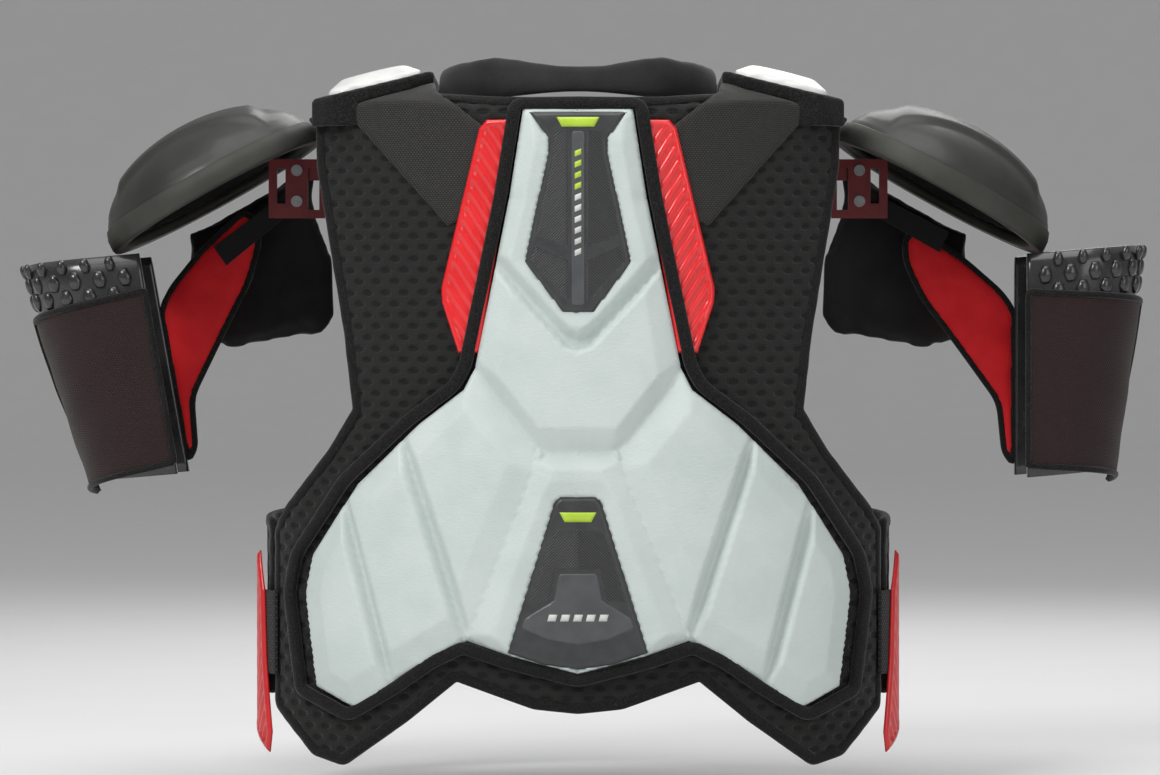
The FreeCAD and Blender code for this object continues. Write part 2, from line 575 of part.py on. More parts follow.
def build_bracket():
    """The slotted plate on the vest's webbing tab; the cap and the bicep guard hang from it."""
    body, plane = box_body("bracket", "Sizes.bracket_left", "Sizes.bracket_width",
                           "Sizes.bracket_low", "Sizes.bracket_height", "Sizes.bracket_wall")
    pocket(body, plane, "slots", [
        (SLOT_LEFT, BRACKET_MID + " - Sizes.slot_inner_height / 2", "Sizes.slot_inner",
         "Sizes.slot_inner_height"),
        (OUTER_SLOT, BRACKET_MID + " - Sizes.slot_outer_height / 2 + 2", "Sizes.slot_outer",
         "Sizes.slot_outer_height")])
    pocket(body, plane, "rivet_holes", [(BAR_MIDDLE, "Sizes.rivet_high", "Sizes.rivet_radius"),
                                        (BAR_MIDDLE, "Sizes.rivet_low", "Sizes.rivet_radius")])
    body.setExpression("Placement.Base.y", "Sizes.bracket_forward")
    finish_pair("cap_bracket", body)
    build_rivets()
    tab, plane = box_body("cap_tab_plate", "Sizes.tab_left",
                          BAR_MIDDLE + " + Sizes.hanger_half_height - Sizes.tab_left",
                          "Sizes.rivet_high - Sizes.hanger_half_height",
                          "2 * Sizes.hanger_half_height", "Sizes.hanger_wall")
    pocket(tab, plane, "tab_hole", [(BAR_MIDDLE, "Sizes.rivet_high", HANGER_FIT)])
    riser, _ = box_body("cap_tab_riser", "Sizes.tab_left", "Sizes.tab_width",
                        "Sizes.rivet_high", "Sizes.shoulder_top - Sizes.rivet_high",
                        "Sizes.hanger_wall")
    for webbing in (tab, riser):
        webbing.setExpression("Placement.Base.y", HANGER_BACK + " + Sizes.hanger_wall / 2")
    sewn = common("cap_tab_top", riser, torso("-Sizes.seam_gap"))
    finish_pair("cap_tab", fuse("cap_tab_joined", tab, sewn))


def pin(name, up, start, end, radius):
    """A round pin across Y through the bracket's bar; start and end are expressions."""
    made = add("Part::Cylinder", name, Radius=radius, Height=f"({end}) - ({start})")
    made.Placement = Placement(Vector(), Rotation(ALONG_X, -90))
    made.setExpression("Placement.Base.x", BAR_MIDDLE)
    made.setExpression("Placement.Base.y", start)
    made.setExpression("Placement.Base.z", up)
    return made


def build_rivets():
    """The high rivet holds the bracket to the vest's tab, the low one the guard's hanger."""
    far = HANGER_FRONT + " + Sizes.hanger_gap"
    rivets = []
    for tag in ("high", "low"):
        up = "Sizes.rivet_" + tag
        heads = [pin(f"rivet_{tag}_head", up, BRACKET_BACK + " - Sizes.rivet_head_wall",
                     BRACKET_BACK, "Sizes.rivet_head"),
                 pin(f"rivet_{tag}_washer", up, far, far + " + Sizes.rivet_head_wall",
                     "Sizes.rivet_head"),
                 pin(f"rivet_{tag}_shank", up, BRACKET_BACK, far, "Sizes.rivet_radius")]
        rivets.append(fuse(f"rivet_{tag}", *heads))
    both = doc.addObject("Part::Compound", "rivet_pair")
    both.Links = rivets
    finish_pair("bracket_rivets", both)


# ---------------------------------------------------------------- shoulder cap
def dome(name, shrink):
    """The upper half of an ellipsoid, leaning outwards; shrink is an expression."""
    made = add("Part::Ellipsoid", name, Radius1=f"Sizes.cap_height - ({shrink})",
               Radius2=f"Sizes.cap_long - ({shrink})", Radius3=f"Sizes.cap_half_width - ({shrink})")
    made.Angle1, made.Angle2, made.Angle3 = 0, 90, 360
    lean(made)
    return made


def lean(made):
    made.Placement = Placement(Vector(), Rotation(ALONG_Y, 0))
    made.setExpression("Placement.Base.x", "Sizes.cap_centre_x")
    made.setExpression("Placement.Base.z", "Sizes.cap_centre_z")
    made.Placement.Rotation = Rotation(ALONG_Y, size("cap_tilt"))
    return made


def build_cap():
    inside = "Sizes.cap_wall"
    lining = inside + " + Sizes.seam_gap"
    finish_pair("cap_shell", cut("cap_shell_solid", dome("cap_outer", "0"),
                                 dome("cap_inner", inside)))
    finish_pair("cap_liner", cut("cap_liner_solid", dome("cap_lining", lining),
                                 dome("cap_hollow", lining + " + Sizes.cap_liner_wall")))
    edges = []
    for tag, shrink in (("out", "0"), ("in", "Sizes.cap_rim_wall")):
        oval = add("Part::Ellipse", "rim_" + tag,
                   MajorRadius=f"max(Sizes.cap_half_width; Sizes.cap_long) - {shrink}",
                   MinorRadius=f"min(Sizes.cap_half_width; Sizes.cap_long) - {shrink}")
        wide = size("cap_half_width") >= size("cap_long")
        oval.Placement = Placement(Vector(), Rotation(ALONG_Z, 90 if wide else 0))
        edges.append(prism("rim_column_" + tag, oval, ALONG_Z, "-Sizes.cap_rim_height",
                           "-Sizes.seam_gap"))
    rim = cut("rim_solid", *edges)
    finish_pair("cap_rim", lean(rim))
    flap = prism("flap_prism", outline_sketch("cap_flap"), ALONG_Y, "Sizes.flap_back",
                 "Sizes.flap_back + Sizes.flap_wall")
    finish_pair("cap_flap", flap)


# ---------------------------------------------------------------- bicep guard
def channel_section(body, name, up, inner, middle, radius):
    """A U-shaped section, rounded on the outside of the arm; sizes are expressions."""
    drawn = body.newObject("Sketcher::SketchObject", name)
    plane = next(f for f in body.Origin.OriginFeatures if f.Role == "XY_Plane")
    drawn.AttachmentSupport = [(plane, "")]
    drawn.MapMode = "FlatFace"
    drawn.setExpression("AttachmentOffset.Base.z", up)
    x0, x1, r = (float(sheet.evalExpression(e)) for e in (inner, middle, radius))
    drawn.addGeometry(Part.LineSegment(Vector(x0, -r, 0), Vector(x1, -r, 0)), False)
    drawn.addGeometry(Part.ArcOfCircle(Part.Circle(Vector(x1, 0, 0), Vector(0, 0, 1), r),
                                       -1.5707963267948966, 1.5707963267948966), False)
    drawn.addGeometry(Part.LineSegment(Vector(x1, r, 0), Vector(x0, r, 0)), False)
    drawn.addGeometry(Part.LineSegment(Vector(x0, r, 0), Vector(x0, -r, 0)), False)
    for a, b in ((0, 1), (1, 2)):
        drawn.addConstraint(Sketcher.Constraint("Tangent", a, 2, b, 1))
    for a, b in ((2, 3), (3, 0)):
        drawn.addConstraint(Sketcher.Constraint("Coincident", a, 2, b, 1))
    drawn.addConstraint(Sketcher.Constraint("Horizontal", 0))
    drawn.addConstraint(Sketcher.Constraint("Horizontal", 2))
    drawn.addConstraint(Sketcher.Constraint("Vertical", 3))
    drawn.addConstraint(Sketcher.Constraint("PointOnObject", 1, 3, -1))
    for constraint, expression in (
            (Sketcher.Constraint("DistanceX", -1, 1, 0, 1, x0), inner),
            (Sketcher.Constraint("DistanceX", -1, 1, 1, 3, x1), middle),
            (Sketcher.Constraint("Radius", 1, r), radius)):
        index = drawn.addConstraint(constraint)
        drawn.setExpression(f"Constraints[{index}]", expression)
    return drawn


def guard_turn(side, drop):
    """How this side's guard hangs: turned about the lower rivet, and let down on its webbing."""
    sign = 1 if side == "right" else -1
    pivot = Vector(sign * float(sheet.evalExpression(BAR_MIDDLE)), 0, size("rivet_low"))
    angle = -sign * size(side + "_guard_tilt")
    return Placement(Vector(0, 0, -drop), Rotation(ALONG_Y, angle), pivot)


def channel(name, shrink, inward):
    """A solid D-shaped column that follows the upper arm; shrink and inward are expressions."""
    body = doc.addObject("PartDesign::Body", name)
    ends = [channel_section(body, f"{name}_{end}", f"Sizes.guard_{end}",
                            f"Sizes.guard_{end}_inner - ({inward})", f"Sizes.guard_{end}_round",
                            f"Sizes.guard_half_depth - ({shrink})")
            for end in ("bottom", "top")]
    doc.recompute()
    loft = body.newObject("PartDesign::AdditiveLoft", name + "_loft")
    loft.Profile = ends[0]
    loft.Sections = [ends[1]]
    loft.Ruled = True
    doc.recompute()
    return body


def build_guard():
    turns = {f"{side}_place": guard_turn(side, size(side + "_guard_drop"))
             for side in ("left", "right")}
    finish_pair("bicep_shell", cut("guard_shell", channel("guard_outside", "0", "0"),
                                   channel("guard_inside", "Sizes.guard_wall", HOLLOW_PAST)), **turns)
    ear = outline_sketch("ear")
    end = "Sizes.guard_half_depth - 1"
    start = end + " - Sizes.ear_wall"
    finish_pair("bicep_pad", prism("ear_pad", grown("ear_inset", ear, "-Sizes.ear_tape"),
                                   ALONG_Y, start, end), **turns)
    finish_pair("bicep_binding", prism("ear_band", ring("ear_ring", ear, "-Sizes.ear_tape"),
                                       ALONG_Y, start, end), **turns)
    strap = prism("hanger_prism", outline_sketch("hanger"), ALONG_Y, HANGER_BACK, HANGER_FRONT)
    hole = pin("hanger_hole", "Sizes.rivet_low", HANGER_BACK, HANGER_FRONT, HANGER_FIT)
    finish_pair("guard_hanger", cut("hanger_strap", strap, hole),
                guard_turn("left", 0), guard_turn("right", 0))
    build_wrap(turns)


def build_wrap(turns):
    """The stretch wrap over the back of the guard, with a hook strip along its free edge."""
    near, far = "-Sizes.wrap_gap", "-(Sizes.wrap_gap + Sizes.wrap_wall)"
    sleeve = cut("wrap_sleeve", channel("wrap_outside", far, SLEEVE_PAST),
                 channel("wrap_inside", near, SLEEVE_HOLLOW_PAST))
    wrap = prism("wrap_prism", outline_sketch("wrap"), ALONG_Y, BEHIND, "-Sizes.wrap_front")
    finish_pair("bicep_wrap", common("wrap_solid", sleeve, wrap), **turns)
    rear = "-Sizes.guard_half_depth - Sizes.wrap_gap"
    edge = [("top", "- 6"), ("foot", "+ 6")]
    left, right = [[(f"Sizes.wrap_inner_{end}_across + 2{more}", f"Sizes.wrap_inner_{end}_up {by}")
                    for end, by in edge] for more in ("", " + Sizes.wrap_hook_width")]
    hook = sketch_on("hook_outline", left + right[::-1])
    finish_pair("wrap_hook", prism("hook_prism", hook, ALONG_Y, rear,
                                   rear + " + Sizes.fastener_wall"), **turns)


# ---------------------------------------------------------------- build, check and write
def check_document():
    doc.recompute()
    failed = [o.Name for o in doc.Objects if {"Invalid", "Error"} & set(o.State)]
    if failed:
        raise SystemExit(f"these objects failed to build: {failed}")
    for node, made in parts.items():
        shape = made.Shape
        if shape.isNull() or not shape.isValid() or not shape.Solids:
            raise SystemExit(f"{node} has no valid solid")


def write_parts():
    os.makedirs("parts", exist_ok=True)
    for old in os.listdir("parts"):
        if old.endswith(".step"):
            os.remove(os.path.join("parts", old))
    for node, made in parts.items():
        made.Shape.exportStep(os.path.join("parts", node + ".step"))
        box = made.Shape.BoundBox
        print(f"{node}: {len(made.Shape.Solids)} solid, {made.Shape.Volume / 1000:.1f} cm3, "
              f"x {box.XMin:.0f}..{box.XMax:.0f} y {box.YMin:.0f}..{box.YMax:.0f} "
              f"z {box.ZMin:.0f}..{box.ZMax:.0f}")


fill_sheet()
build_back()
build_shoulders()
build_chest()
build_side_straps()
build_bracket()
build_cap()
build_guard()
check_document()
write_parts()
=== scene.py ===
import json
import math

import bmesh
import bpy
import numpy as np
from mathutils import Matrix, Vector, noise
from mathutils.bvhtree import BVHTree
from mathutils.geometry import delaunay_2d_cdt

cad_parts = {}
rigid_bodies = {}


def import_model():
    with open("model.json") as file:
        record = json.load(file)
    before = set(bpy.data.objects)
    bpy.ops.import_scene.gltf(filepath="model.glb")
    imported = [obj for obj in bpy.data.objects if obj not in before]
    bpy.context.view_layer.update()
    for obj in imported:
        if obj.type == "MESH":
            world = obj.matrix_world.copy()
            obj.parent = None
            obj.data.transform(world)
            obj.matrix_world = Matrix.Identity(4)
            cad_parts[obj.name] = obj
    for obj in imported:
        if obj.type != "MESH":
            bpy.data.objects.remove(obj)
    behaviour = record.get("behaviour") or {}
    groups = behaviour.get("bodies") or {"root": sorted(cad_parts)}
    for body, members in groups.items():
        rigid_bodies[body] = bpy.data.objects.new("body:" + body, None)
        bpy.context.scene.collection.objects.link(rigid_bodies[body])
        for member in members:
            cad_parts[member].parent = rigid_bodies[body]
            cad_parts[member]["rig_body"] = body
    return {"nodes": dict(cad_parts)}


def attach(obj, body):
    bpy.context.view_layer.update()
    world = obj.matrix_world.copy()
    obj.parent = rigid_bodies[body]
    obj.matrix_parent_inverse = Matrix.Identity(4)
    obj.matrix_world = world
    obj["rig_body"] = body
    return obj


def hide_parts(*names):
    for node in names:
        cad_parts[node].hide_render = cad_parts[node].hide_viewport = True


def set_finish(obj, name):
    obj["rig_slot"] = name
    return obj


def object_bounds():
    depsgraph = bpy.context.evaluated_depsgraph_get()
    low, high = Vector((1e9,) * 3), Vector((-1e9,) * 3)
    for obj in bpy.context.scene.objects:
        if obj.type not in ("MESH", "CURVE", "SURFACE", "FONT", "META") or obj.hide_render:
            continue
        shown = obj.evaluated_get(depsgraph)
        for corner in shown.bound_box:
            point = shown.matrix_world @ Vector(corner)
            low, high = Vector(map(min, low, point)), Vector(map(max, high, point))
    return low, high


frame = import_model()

CAD_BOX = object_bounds()
NODES = frame["nodes"]

# The vest is drawn in millimetres, with heights counted up from the lowest point of its back
# hem, as in the CAD model; REST is how far the whole is then lowered.
MM, REST = 0.001, 450.0
BACK_R, FLANK_R, HALF_DEPTH = 281.0, 75.0, 128.0
TOP, SLOPE, SHOULDER_R = 484.0, math.radians(13.5), 50.0
BACK_C = BACK_R - HALF_DEPTH
FLANK_X = math.sqrt((BACK_R - FLANK_R) ** 2 - BACK_C ** 2)
TURN = math.asin(FLANK_X / (BACK_R - FLANK_R))
ROUND_D = HALF_DEPTH - SHOULDER_R
BACK, FRONT = -1, 1
LINER, SKIN, FOAM = 6.0, 6.2, 18.0


# ---------------------------------------------------------------- the torso's surface
def plan(u, h):
    """Distance across and depth at arc length u from the middle line, h outside the torso."""
    along = np.abs(u)
    a = np.minimum(along / BACK_R, TURN)
    turn = a + np.maximum(along - BACK_R * TURN, 0) / FLANK_R
    flank = along > BACK_R * TURN
    x = np.where(flank, FLANK_X + (FLANK_R + h) * np.sin(turn), (BACK_R + h) * np.sin(a))
    d = np.where(flank, (FLANK_R + h) * np.cos(turn), (BACK_R + h) * np.cos(a) - BACK_C)
    return x, d


def crest(x, d, h):
    """Height at which the wall starts to round over the shoulder, and the angle there."""
    r = SHOULDER_R + h
    start = np.arccos(np.clip((d - ROUND_D) / r, 0, 1))
    z = TOP - x * math.tan(SLOPE) + (h - r * (1 - np.sin(start))) / math.cos(SLOPE)
    return z, start


def lift(u, w, h, face=BACK):
    """Points h millimetres outside the torso, at u round it and w up it and over the shoulder."""
    u, w, h = np.broadcast_arrays(*(np.asarray(v, float) for v in (u, w, h)))
    x, d = plan(u, h)
    z1, start = crest(x, d, h)
    r = SHOULDER_R + h
    t = np.maximum(w - z1, 0)
    arc = r * (math.pi / 2 - start)
    angle = start + np.minimum(t, arc) / r
    over = w > z1
    depth = np.where(over, np.minimum(d, ROUND_D + r * np.cos(angle)) - np.maximum(t - arc, 0), d)
    z = np.where(over, TOP - x * math.tan(SLOPE) + (h - r * (1 - np.sin(angle))) / math.cos(SLOPE), w)
    return np.stack([np.sign(u) * x, face * depth, z], -1)


def lay(points, h=LINER):
    """(across, up) points as (u, w) on the torso's surface."""
    p = np.asarray(points, float)
    x, z = np.abs(p[:, 0]), p[:, 1]
    edge = (BACK_R + h) * math.sin(TURN)
    flat = BACK_R * np.arcsin(np.clip(x / (BACK_R + h), 0, 1))
    bent = np.arcsin(np.clip((x - FLANK_X) / (FLANK_R + h), -1, 1)) - TURN
    u = np.where(x < edge, flat, BACK_R * TURN + FLANK_R * bent)
    _, d = plan(u, h)
    z1, start = crest(x, d, h)
    r = SHOULDER_R + h
    fall = (TOP - x * math.tan(SLOPE) - z) * math.cos(SLOPE) + h
    angle = np.arcsin(np.clip(1 - fall / r, -1, 1))
    end = z1 + r * (math.pi / 2 - start) + np.minimum(d, ROUND_D) - 34
    w = np.where(z <= z1, z, z1 + r * np.maximum(angle - start, 0))
    w = np.where(fall < 0, end, w)
    return np.stack([np.sign(p[:, 0] + 1e-9) * u, w], -1)


def height_over(p):
    """How far outside the torso points (hem millimetres) are, roughly."""
    x, y, z = np.abs(p[:, 0]), np.abs(p[:, 1]), p[:, 2]
    back = np.hypot(x, y + BACK_C) - BACK_R
    flank = np.hypot(x - FLANK_X, y) - FLANK_R
    wall = np.where(np.arctan2(x, y + BACK_C) > TURN, flank, back)
    s = (z - TOP + x * math.tan(SLOPE)) * math.cos(SLOPE)
    top = np.where((y > ROUND_D) & (s > -SHOULDER_R),
                   np.hypot(y - ROUND_D, s + SHOULDER_R) - SHOULDER_R, s)
    return wall, top


# ---------------------------------------------------------------- outlines
def whole(half):
    """A right-hand half outline, from its top middle to its foot, and its mirror image."""
    right = [(max(x, 0.0), z) for x, z in half]
    return right + [(-x, z) for x, z in right[::-1] if x > 0.01]


def resample(path, step, closed=True):
    p = np.asarray(path, float)
    q = np.vstack([p, p[:1]]) if closed else p
    out = []
    for a, b in zip(q[:-1], q[1:]):
        n = max(1, round(np.linalg.norm(b - a) / step))
        out += [a + (b - a) * i / n for i in range(n)]
    if not closed:
        out.append(q[-1])
    return np.array(out)


def rounded(path, radius, closed=True, steps=4):
    """The outline with each corner cut by a smooth curve that starts radius away from it."""
    p = np.asarray(path, float)
    out = [] if closed else [p[0]]
    count = len(p)
    for i in (range(count) if closed else range(1, count - 1)):
        here, before, after = p[i], p[i - 1], p[(i + 1) % count]
        a, b = before - here, after - here
        la, lb = np.linalg.norm(a), np.linalg.norm(b)
        r = min(radius, la * 0.45, lb * 0.45)
        start, end = here + a / la * r, here + b / lb * r
        for k in range(steps + 1):
            t = k / steps
            out.append((1 - t) ** 2 * start + 2 * t * (1 - t) * here + t * t * end)
    if not closed:
        out.append(p[-1])
    return np.array(out)


def edge_distance(points, path, closed=True):
    """Distance of each point from a polyline."""
    p = np.asarray(path, float)
    q = np.roll(p, -1, 0) if closed else p[1:]
    p = p if closed else p[:-1]
    best = np.full(len(points), 1e9)
    for a, b in zip(p, q):
        d = b - a
        t = np.clip(((points - a) @ d) / max(d @ d, 1e-12), 0, 1)
        best = np.minimum(best, np.linalg.norm(points - a - t[:, None] * d, axis=1))
    return best


def inside(points, path):
    p = np.asarray(path, float)
    found = np.zeros(len(points), bool)
    for a, b in zip(p, np.roll(p, -1, 0)):
        cross = (a[1] > points[:, 1]) != (b[1] > points[:, 1])
        rise = b[1] - a[1] if abs(b[1] - a[1]) > 1e-12 else 1e-12
        found ^= cross & (points[:, 0] < (b[0] - a[0]) * (points[:, 1] - a[1]) / rise + a[0])
    return found


# ---------------------------------------------------------------- meshes
def piece(name, co, faces, body, material, uv=None, slot=None, replaces=()):
    """A mesh object from hem-millimetre points, riding on a body."""
    mesh = bpy.data.meshes.new(name)
    co = np.asarray(co, float)
    mesh.from_pydata((co - (0, 0, REST)) * MM, [], faces)
    if uv is not None:
        layer = mesh.uv_layers.new(name="cloth")
        index = np.zeros(len(mesh.loops), int)
        mesh.loops.foreach_get("vertex_index", index)
        layer.data.foreach_set("uv", (np.asarray(uv)[index] * MM).ravel())
    mesh.validate()
    mesh.shade_smooth()
    return placed(name, mesh, body, material, slot, replaces)


def placed(name, mesh, body, material, slot=None, replaces=()):
    made = bpy.data.objects.new(name, mesh)
    bpy.context.scene.collection.objects.link(made)
    made.data.materials.clear()
    made.data.materials.append(material)
    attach(made, body)
    if slot:
        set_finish(made, slot)
    if replaces:
        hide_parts(*replaces)
    return made


def mirrored(made, name, body, replaces=()):
    """The same mesh on the other side."""
    mesh = made.data.copy()
    co = np.zeros(len(mesh.vertices) * 3)
    mesh.vertices.foreach_get("co", co)
    co = co.reshape(-1, 3) * (-1, 1, 1)
    mesh.vertices.foreach_set("co", co.ravel())
    mesh.flip_normals()
    mesh.name = name
    return placed(name, mesh, body, made.data.materials[0], made.get("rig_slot"), replaces)


def panel(name, outline, outer, inner, step, body, material, face=BACK, at=LINER, slot=None,
          replaces=(), laid=False):
    """A closed layer over the torso. outer and inner are heights above it, or give them from
    x, z, the distance to the outline and the place on the cloth map."""
    edge = np.asarray(outline, float) if laid else lay(resample(outline, 12), at)
    edge = resample(edge, step)
    low, high = edge.min(0), edge.max(0)
    across = np.arange(0, max(abs(low[0]), abs(high[0])) + step, step)
    across = np.concatenate([-across[:0:-1], across])
    rows = []
    for k, w in enumerate(np.arange(low[1] + step / 2, high[1], step * 0.866)):
        shift = step / 2 if k % 2 else 0
        rows.append(np.stack([across + shift * np.sign(across + 1e-9), np.full(len(across), w)], -1))
    grid = np.vstack(rows)
    grid = grid[(grid[:, 0] > low[0]) & (grid[:, 0] < high[0])]
    grid = grid[inside(grid, edge)]
    grid = grid[edge_distance(grid, edge) > step * 0.6]
    points = [tuple(q) for q in edge] + [tuple(q) for q in grid]
    edges = [(i, (i + 1) % len(edge)) for i in range(len(edge))]
    verts, _, tris, *_ = delaunay_2d_cdt([Vector(q) for q in points], edges, [], 0, 1e-4)
    verts = np.array([tuple(v) for v in verts])
    tris = np.array([t for t in tris if len(t) == 3])
    tris = tris[inside(verts[tris].mean(1), edge)]
    a, b, c = (verts[tris[:, k]] for k in range(3))
    area = (b[:, 0] - a[:, 0]) * (c[:, 1] - a[:, 1]) - (b[:, 1] - a[:, 1]) * (c[:, 0] - a[:, 0])
    tris = tris[np.abs(area) > 1e-6]
    area = area[np.abs(area) > 1e-6]
    tris = np.where((area > 0)[:, None], tris, tris[:, ::-1])
    used = np.unique(tris)
    index = np.full(len(verts), -1)
    index[used] = np.arange(len(used))
    verts, tris = verts[used], index[tris]
    near = lift(verts[:, 0], verts[:, 1], at, face)
    rim = edge_distance(verts, edge)
    high_h, low_h = (h(near[:, 0], near[:, 2], rim, verts) if callable(h)
                     else np.full(len(verts), h) for h in (outer, inner))
    top = lift(verts[:, 0], verts[:, 1], high_h, face)
    bottom = lift(verts[:, 0], verts[:, 1], low_h, face)
    n = len(verts)
    if face == FRONT:
        tris = tris[:, ::-1]
    count = {}
    for t in tris:
        for i in range(3):
            count[(t[i], t[(i + 1) % 3])] = 1
    walls = [(i + n, j + n, j, i) for i, j in count if (j, i) not in count]
    faces = [tuple(t) for t in tris] + [tuple(t[::-1] + n) for t in tris] + walls
    return piece(name, np.vstack([top, bottom]), faces, body, material,
                 uv=np.vstack([verts, verts]), slot=slot, replaces=replaces)


def bands(rows, columns, closed=True, first=0):
    """Quads between rows of points, each row a closed loop; closed joins the last row to the
    first."""
    faces = []
    for i in range(rows if closed else rows - 1):
        a, b = first + i * columns, first + (i + 1) % rows * columns
        for k in range(columns):
            j = (k + 1) % columns
            faces.append((a + k, a + j, b + j, b + k))
    return faces


def ribbon(name, path, profile, body, material, face=BACK, slot=None, replaces=(), corner=8.0,
           laid=False, uneven=0.0):
    """A rolled tape round a closed path on the torso. profile is a loop of (aside, height)."""
    line = np.asarray(path, float) if laid else lay(resample(path, 12), LINER)
    line = resample(rounded(line, corner), 4.0)
    ahead = np.roll(line, -1, 0) - np.roll(line, 1, 0)
    ahead /= np.linalg.norm(ahead, axis=1)[:, None]
    side = np.stack([ahead[:, 1], -ahead[:, 0]], -1)
    rings, uv = [], []
    length = np.concatenate([[0], np.cumsum(np.linalg.norm(np.diff(line, axis=0), axis=1))])
    for i, (p, s) in enumerate(zip(line, side)):
        wave = 1 + uneven * noise.noise(Vector((p[0] * 0.11, p[1] * 0.11, 0.3)))
        around = np.array([(p[0] + s[0] * a, p[1] + s[1] * a) for a, _ in profile])
        heights = np.array([h for _, h in profile])
        middle = heights.mean()
        rings.append(lift(around[:, 0], around[:, 1], middle + (heights - middle) * wave, face))
        uv += [(length[i], 3.0 * k) for k in range(len(profile))]
    faces = bands(len(rings), len(profile))
    made = piece(name, np.vstack(rings), faces, body, material, uv=uv, slot=slot, replaces=replaces)
    fix_normals(made)
    return made


def fix_normals(made):
    bm = bmesh.new()
    bm.from_mesh(made.data)
    bmesh.ops.recalc_face_normals(bm, faces=bm.faces)
    bm.to_mesh(made.data)
    bm.free()


def roll(width, low, high, count=12):
    """A rolled-tape section: a flattened oval."""
    out = []
    for k in range(count):
        a = 2 * math.pi * k / count
        c, s = math.cos(a), math.sin(a)
        out.append((math.copysign(abs(c) ** 0.7, c) * width / 2,
                    (low + high) / 2 + math.copysign(abs(s) ** 0.7, s) * (high - low) / 2))
    return out


# ---------------------------------------------------------------- materials
class Wire:
    """A shader value that can be used in sums like a number."""

    def __init__(self, tree, socket):
        self.tree, self.socket = tree, socket

    def math(self, operation, *others):
        node = self.tree.nodes.new("ShaderNodeMath")
        node.operation = operation
        for slot, value in zip(node.inputs, (self, *others)):
            if isinstance(value, Wire):
                self.tree.links.new(value.socket, slot)
            else:
                slot.default_value = value
        return Wire(self.tree, node.outputs[0])

    def __add__(self, other):
        return self.math("ADD", other)

    def __sub__(self, other):
        return self.math("SUBTRACT", other)

    def __mul__(self, other):
        return self.math("MULTIPLY", other)

    def floor(self):
        return self.math("FLOOR")

    def fract(self):
        return self.math("FRACT")

    def absolute(self):
        return self.math("ABSOLUTE")

    def power(self, other):
        return self.math("POWER", other)

    def sine(self):
        return self.math("SINE")

    def ramp(self, low, high):
        """0 below low, 1 above high, smooth between."""
        node = self.tree.nodes.new("ShaderNodeMapRange")
        node.interpolation_type = "SMOOTHSTEP"
        self.tree.links.new(self.socket, node.inputs["Value"])
        node.inputs["From Min"].default_value = low
        node.inputs["From Max"].default_value = high
        return Wire(self.tree, node.outputs[0])


class Finish:
    """A procedural material built up in Python; sizes are in millimetres."""

    def __init__(self, name, **sockets):
        self.material = bpy.data.materials.new(name)
        self.material.use_nodes = True
        self.tree = self.material.node_tree
        self.shader = self.tree.nodes["Principled BSDF"]
        for key, value in sockets.items():
            self.shader.inputs[key.replace("_", " ")].default_value = value
        self.bumps = None

    def new(self, kind, **links):
        node = self.tree.nodes.new(kind)
        for key, value in links.items():
            slot = node.inputs[key.replace("_", " ")]
            if isinstance(value, Wire):
                self.tree.links.new(value.socket, slot)
            else:
                slot.default_value = value
        return node

    def place(self):
        """Object coordinates in millimetres, as a vector wire."""
        source = self.tree.nodes.new("ShaderNodeTexCoord")
        scaled = self.tree.nodes.new("ShaderNodeVectorMath")
        scaled.operation = "SCALE"
        scaled.inputs["Scale"].default_value = 1000
        self.tree.links.new(source.outputs["Object"], scaled.inputs[0])
        return Wire(self.tree, scaled.outputs[0])

    def axes(self):
        split = self.tree.nodes.new("ShaderNodeSeparateXYZ")
        self.tree.links.new(self.place().socket, split.inputs[0])
        return [Wire(self.tree, o) for o in split.outputs]

    def cloth(self):
        """(along, up) on the piece's own cloth, in millimetres."""
        source = self.tree.nodes.new("ShaderNodeUVMap")
        source.uv_map = "cloth"
        split = self.tree.nodes.new("ShaderNodeSeparateXYZ")
        self.tree.links.new(source.outputs[0], split.inputs[0])
        return [Wire(self.tree, o) * 1000.0 for o in list(split.outputs)[:2]]

    def noise(self, size, detail=2.0, stretch=None):
        """Noise from 0 to 1 with features about size millimetres across."""
        place = self.place()
        if stretch:
            bent = self.tree.nodes.new("ShaderNodeVectorMath")
            bent.operation = "MULTIPLY"
            self.tree.links.new(place.socket, bent.inputs[0])
            bent.inputs[1].default_value = stretch
            place = Wire(self.tree, bent.outputs[0])
        node = self.new("ShaderNodeTexNoise", Vector=place, Scale=1.0 / size, Detail=detail)
        return Wire(self.tree, node.outputs["Fac"])

    def cells(self, size, feature="F1"):
        node = self.new("ShaderNodeTexVoronoi", Vector=self.place(), Scale=1.0 / size)
        node.feature = feature
        return Wire(self.tree, node.outputs["Distance"])

    def attribute(self, name):
        node = self.tree.nodes.new("ShaderNodeAttribute")
        node.attribute_name = name
        return Wire(self.tree, node.outputs["Fac"])

    def mix(self, factor, a, b):
        node = self.tree.nodes.new("ShaderNodeMix")
        node.data_type = "RGBA"
        self.tree.links.new(factor.socket, node.inputs["Factor"])
        for slot, value in ((node.inputs[6], a), (node.inputs[7], b)):
            if isinstance(value, Wire):
                self.tree.links.new(value.socket, slot)
            else:
                slot.default_value = (*value, 1)
        return Wire(self.tree, node.outputs[2])

    def colour(self, wire):
        self.tree.links.new(wire.socket, self.shader.inputs["Base Color"])

    def rough(self, wire):
        self.tree.links.new(wire.socket, self.shader.inputs["Roughness"])

    def bump(self, wire, depth, strength=1.0):
        """Adds relief depth millimetres deep."""
        node = self.new("ShaderNodeBump", Height=wire, Strength=strength, Distance=depth * MM)
        if self.bumps:
            self.tree.links.new(self.bumps.outputs[0], node.inputs["Normal"])
        self.bumps = node
        self.tree.links.new(node.outputs[0], self.shader.inputs["Normal"])


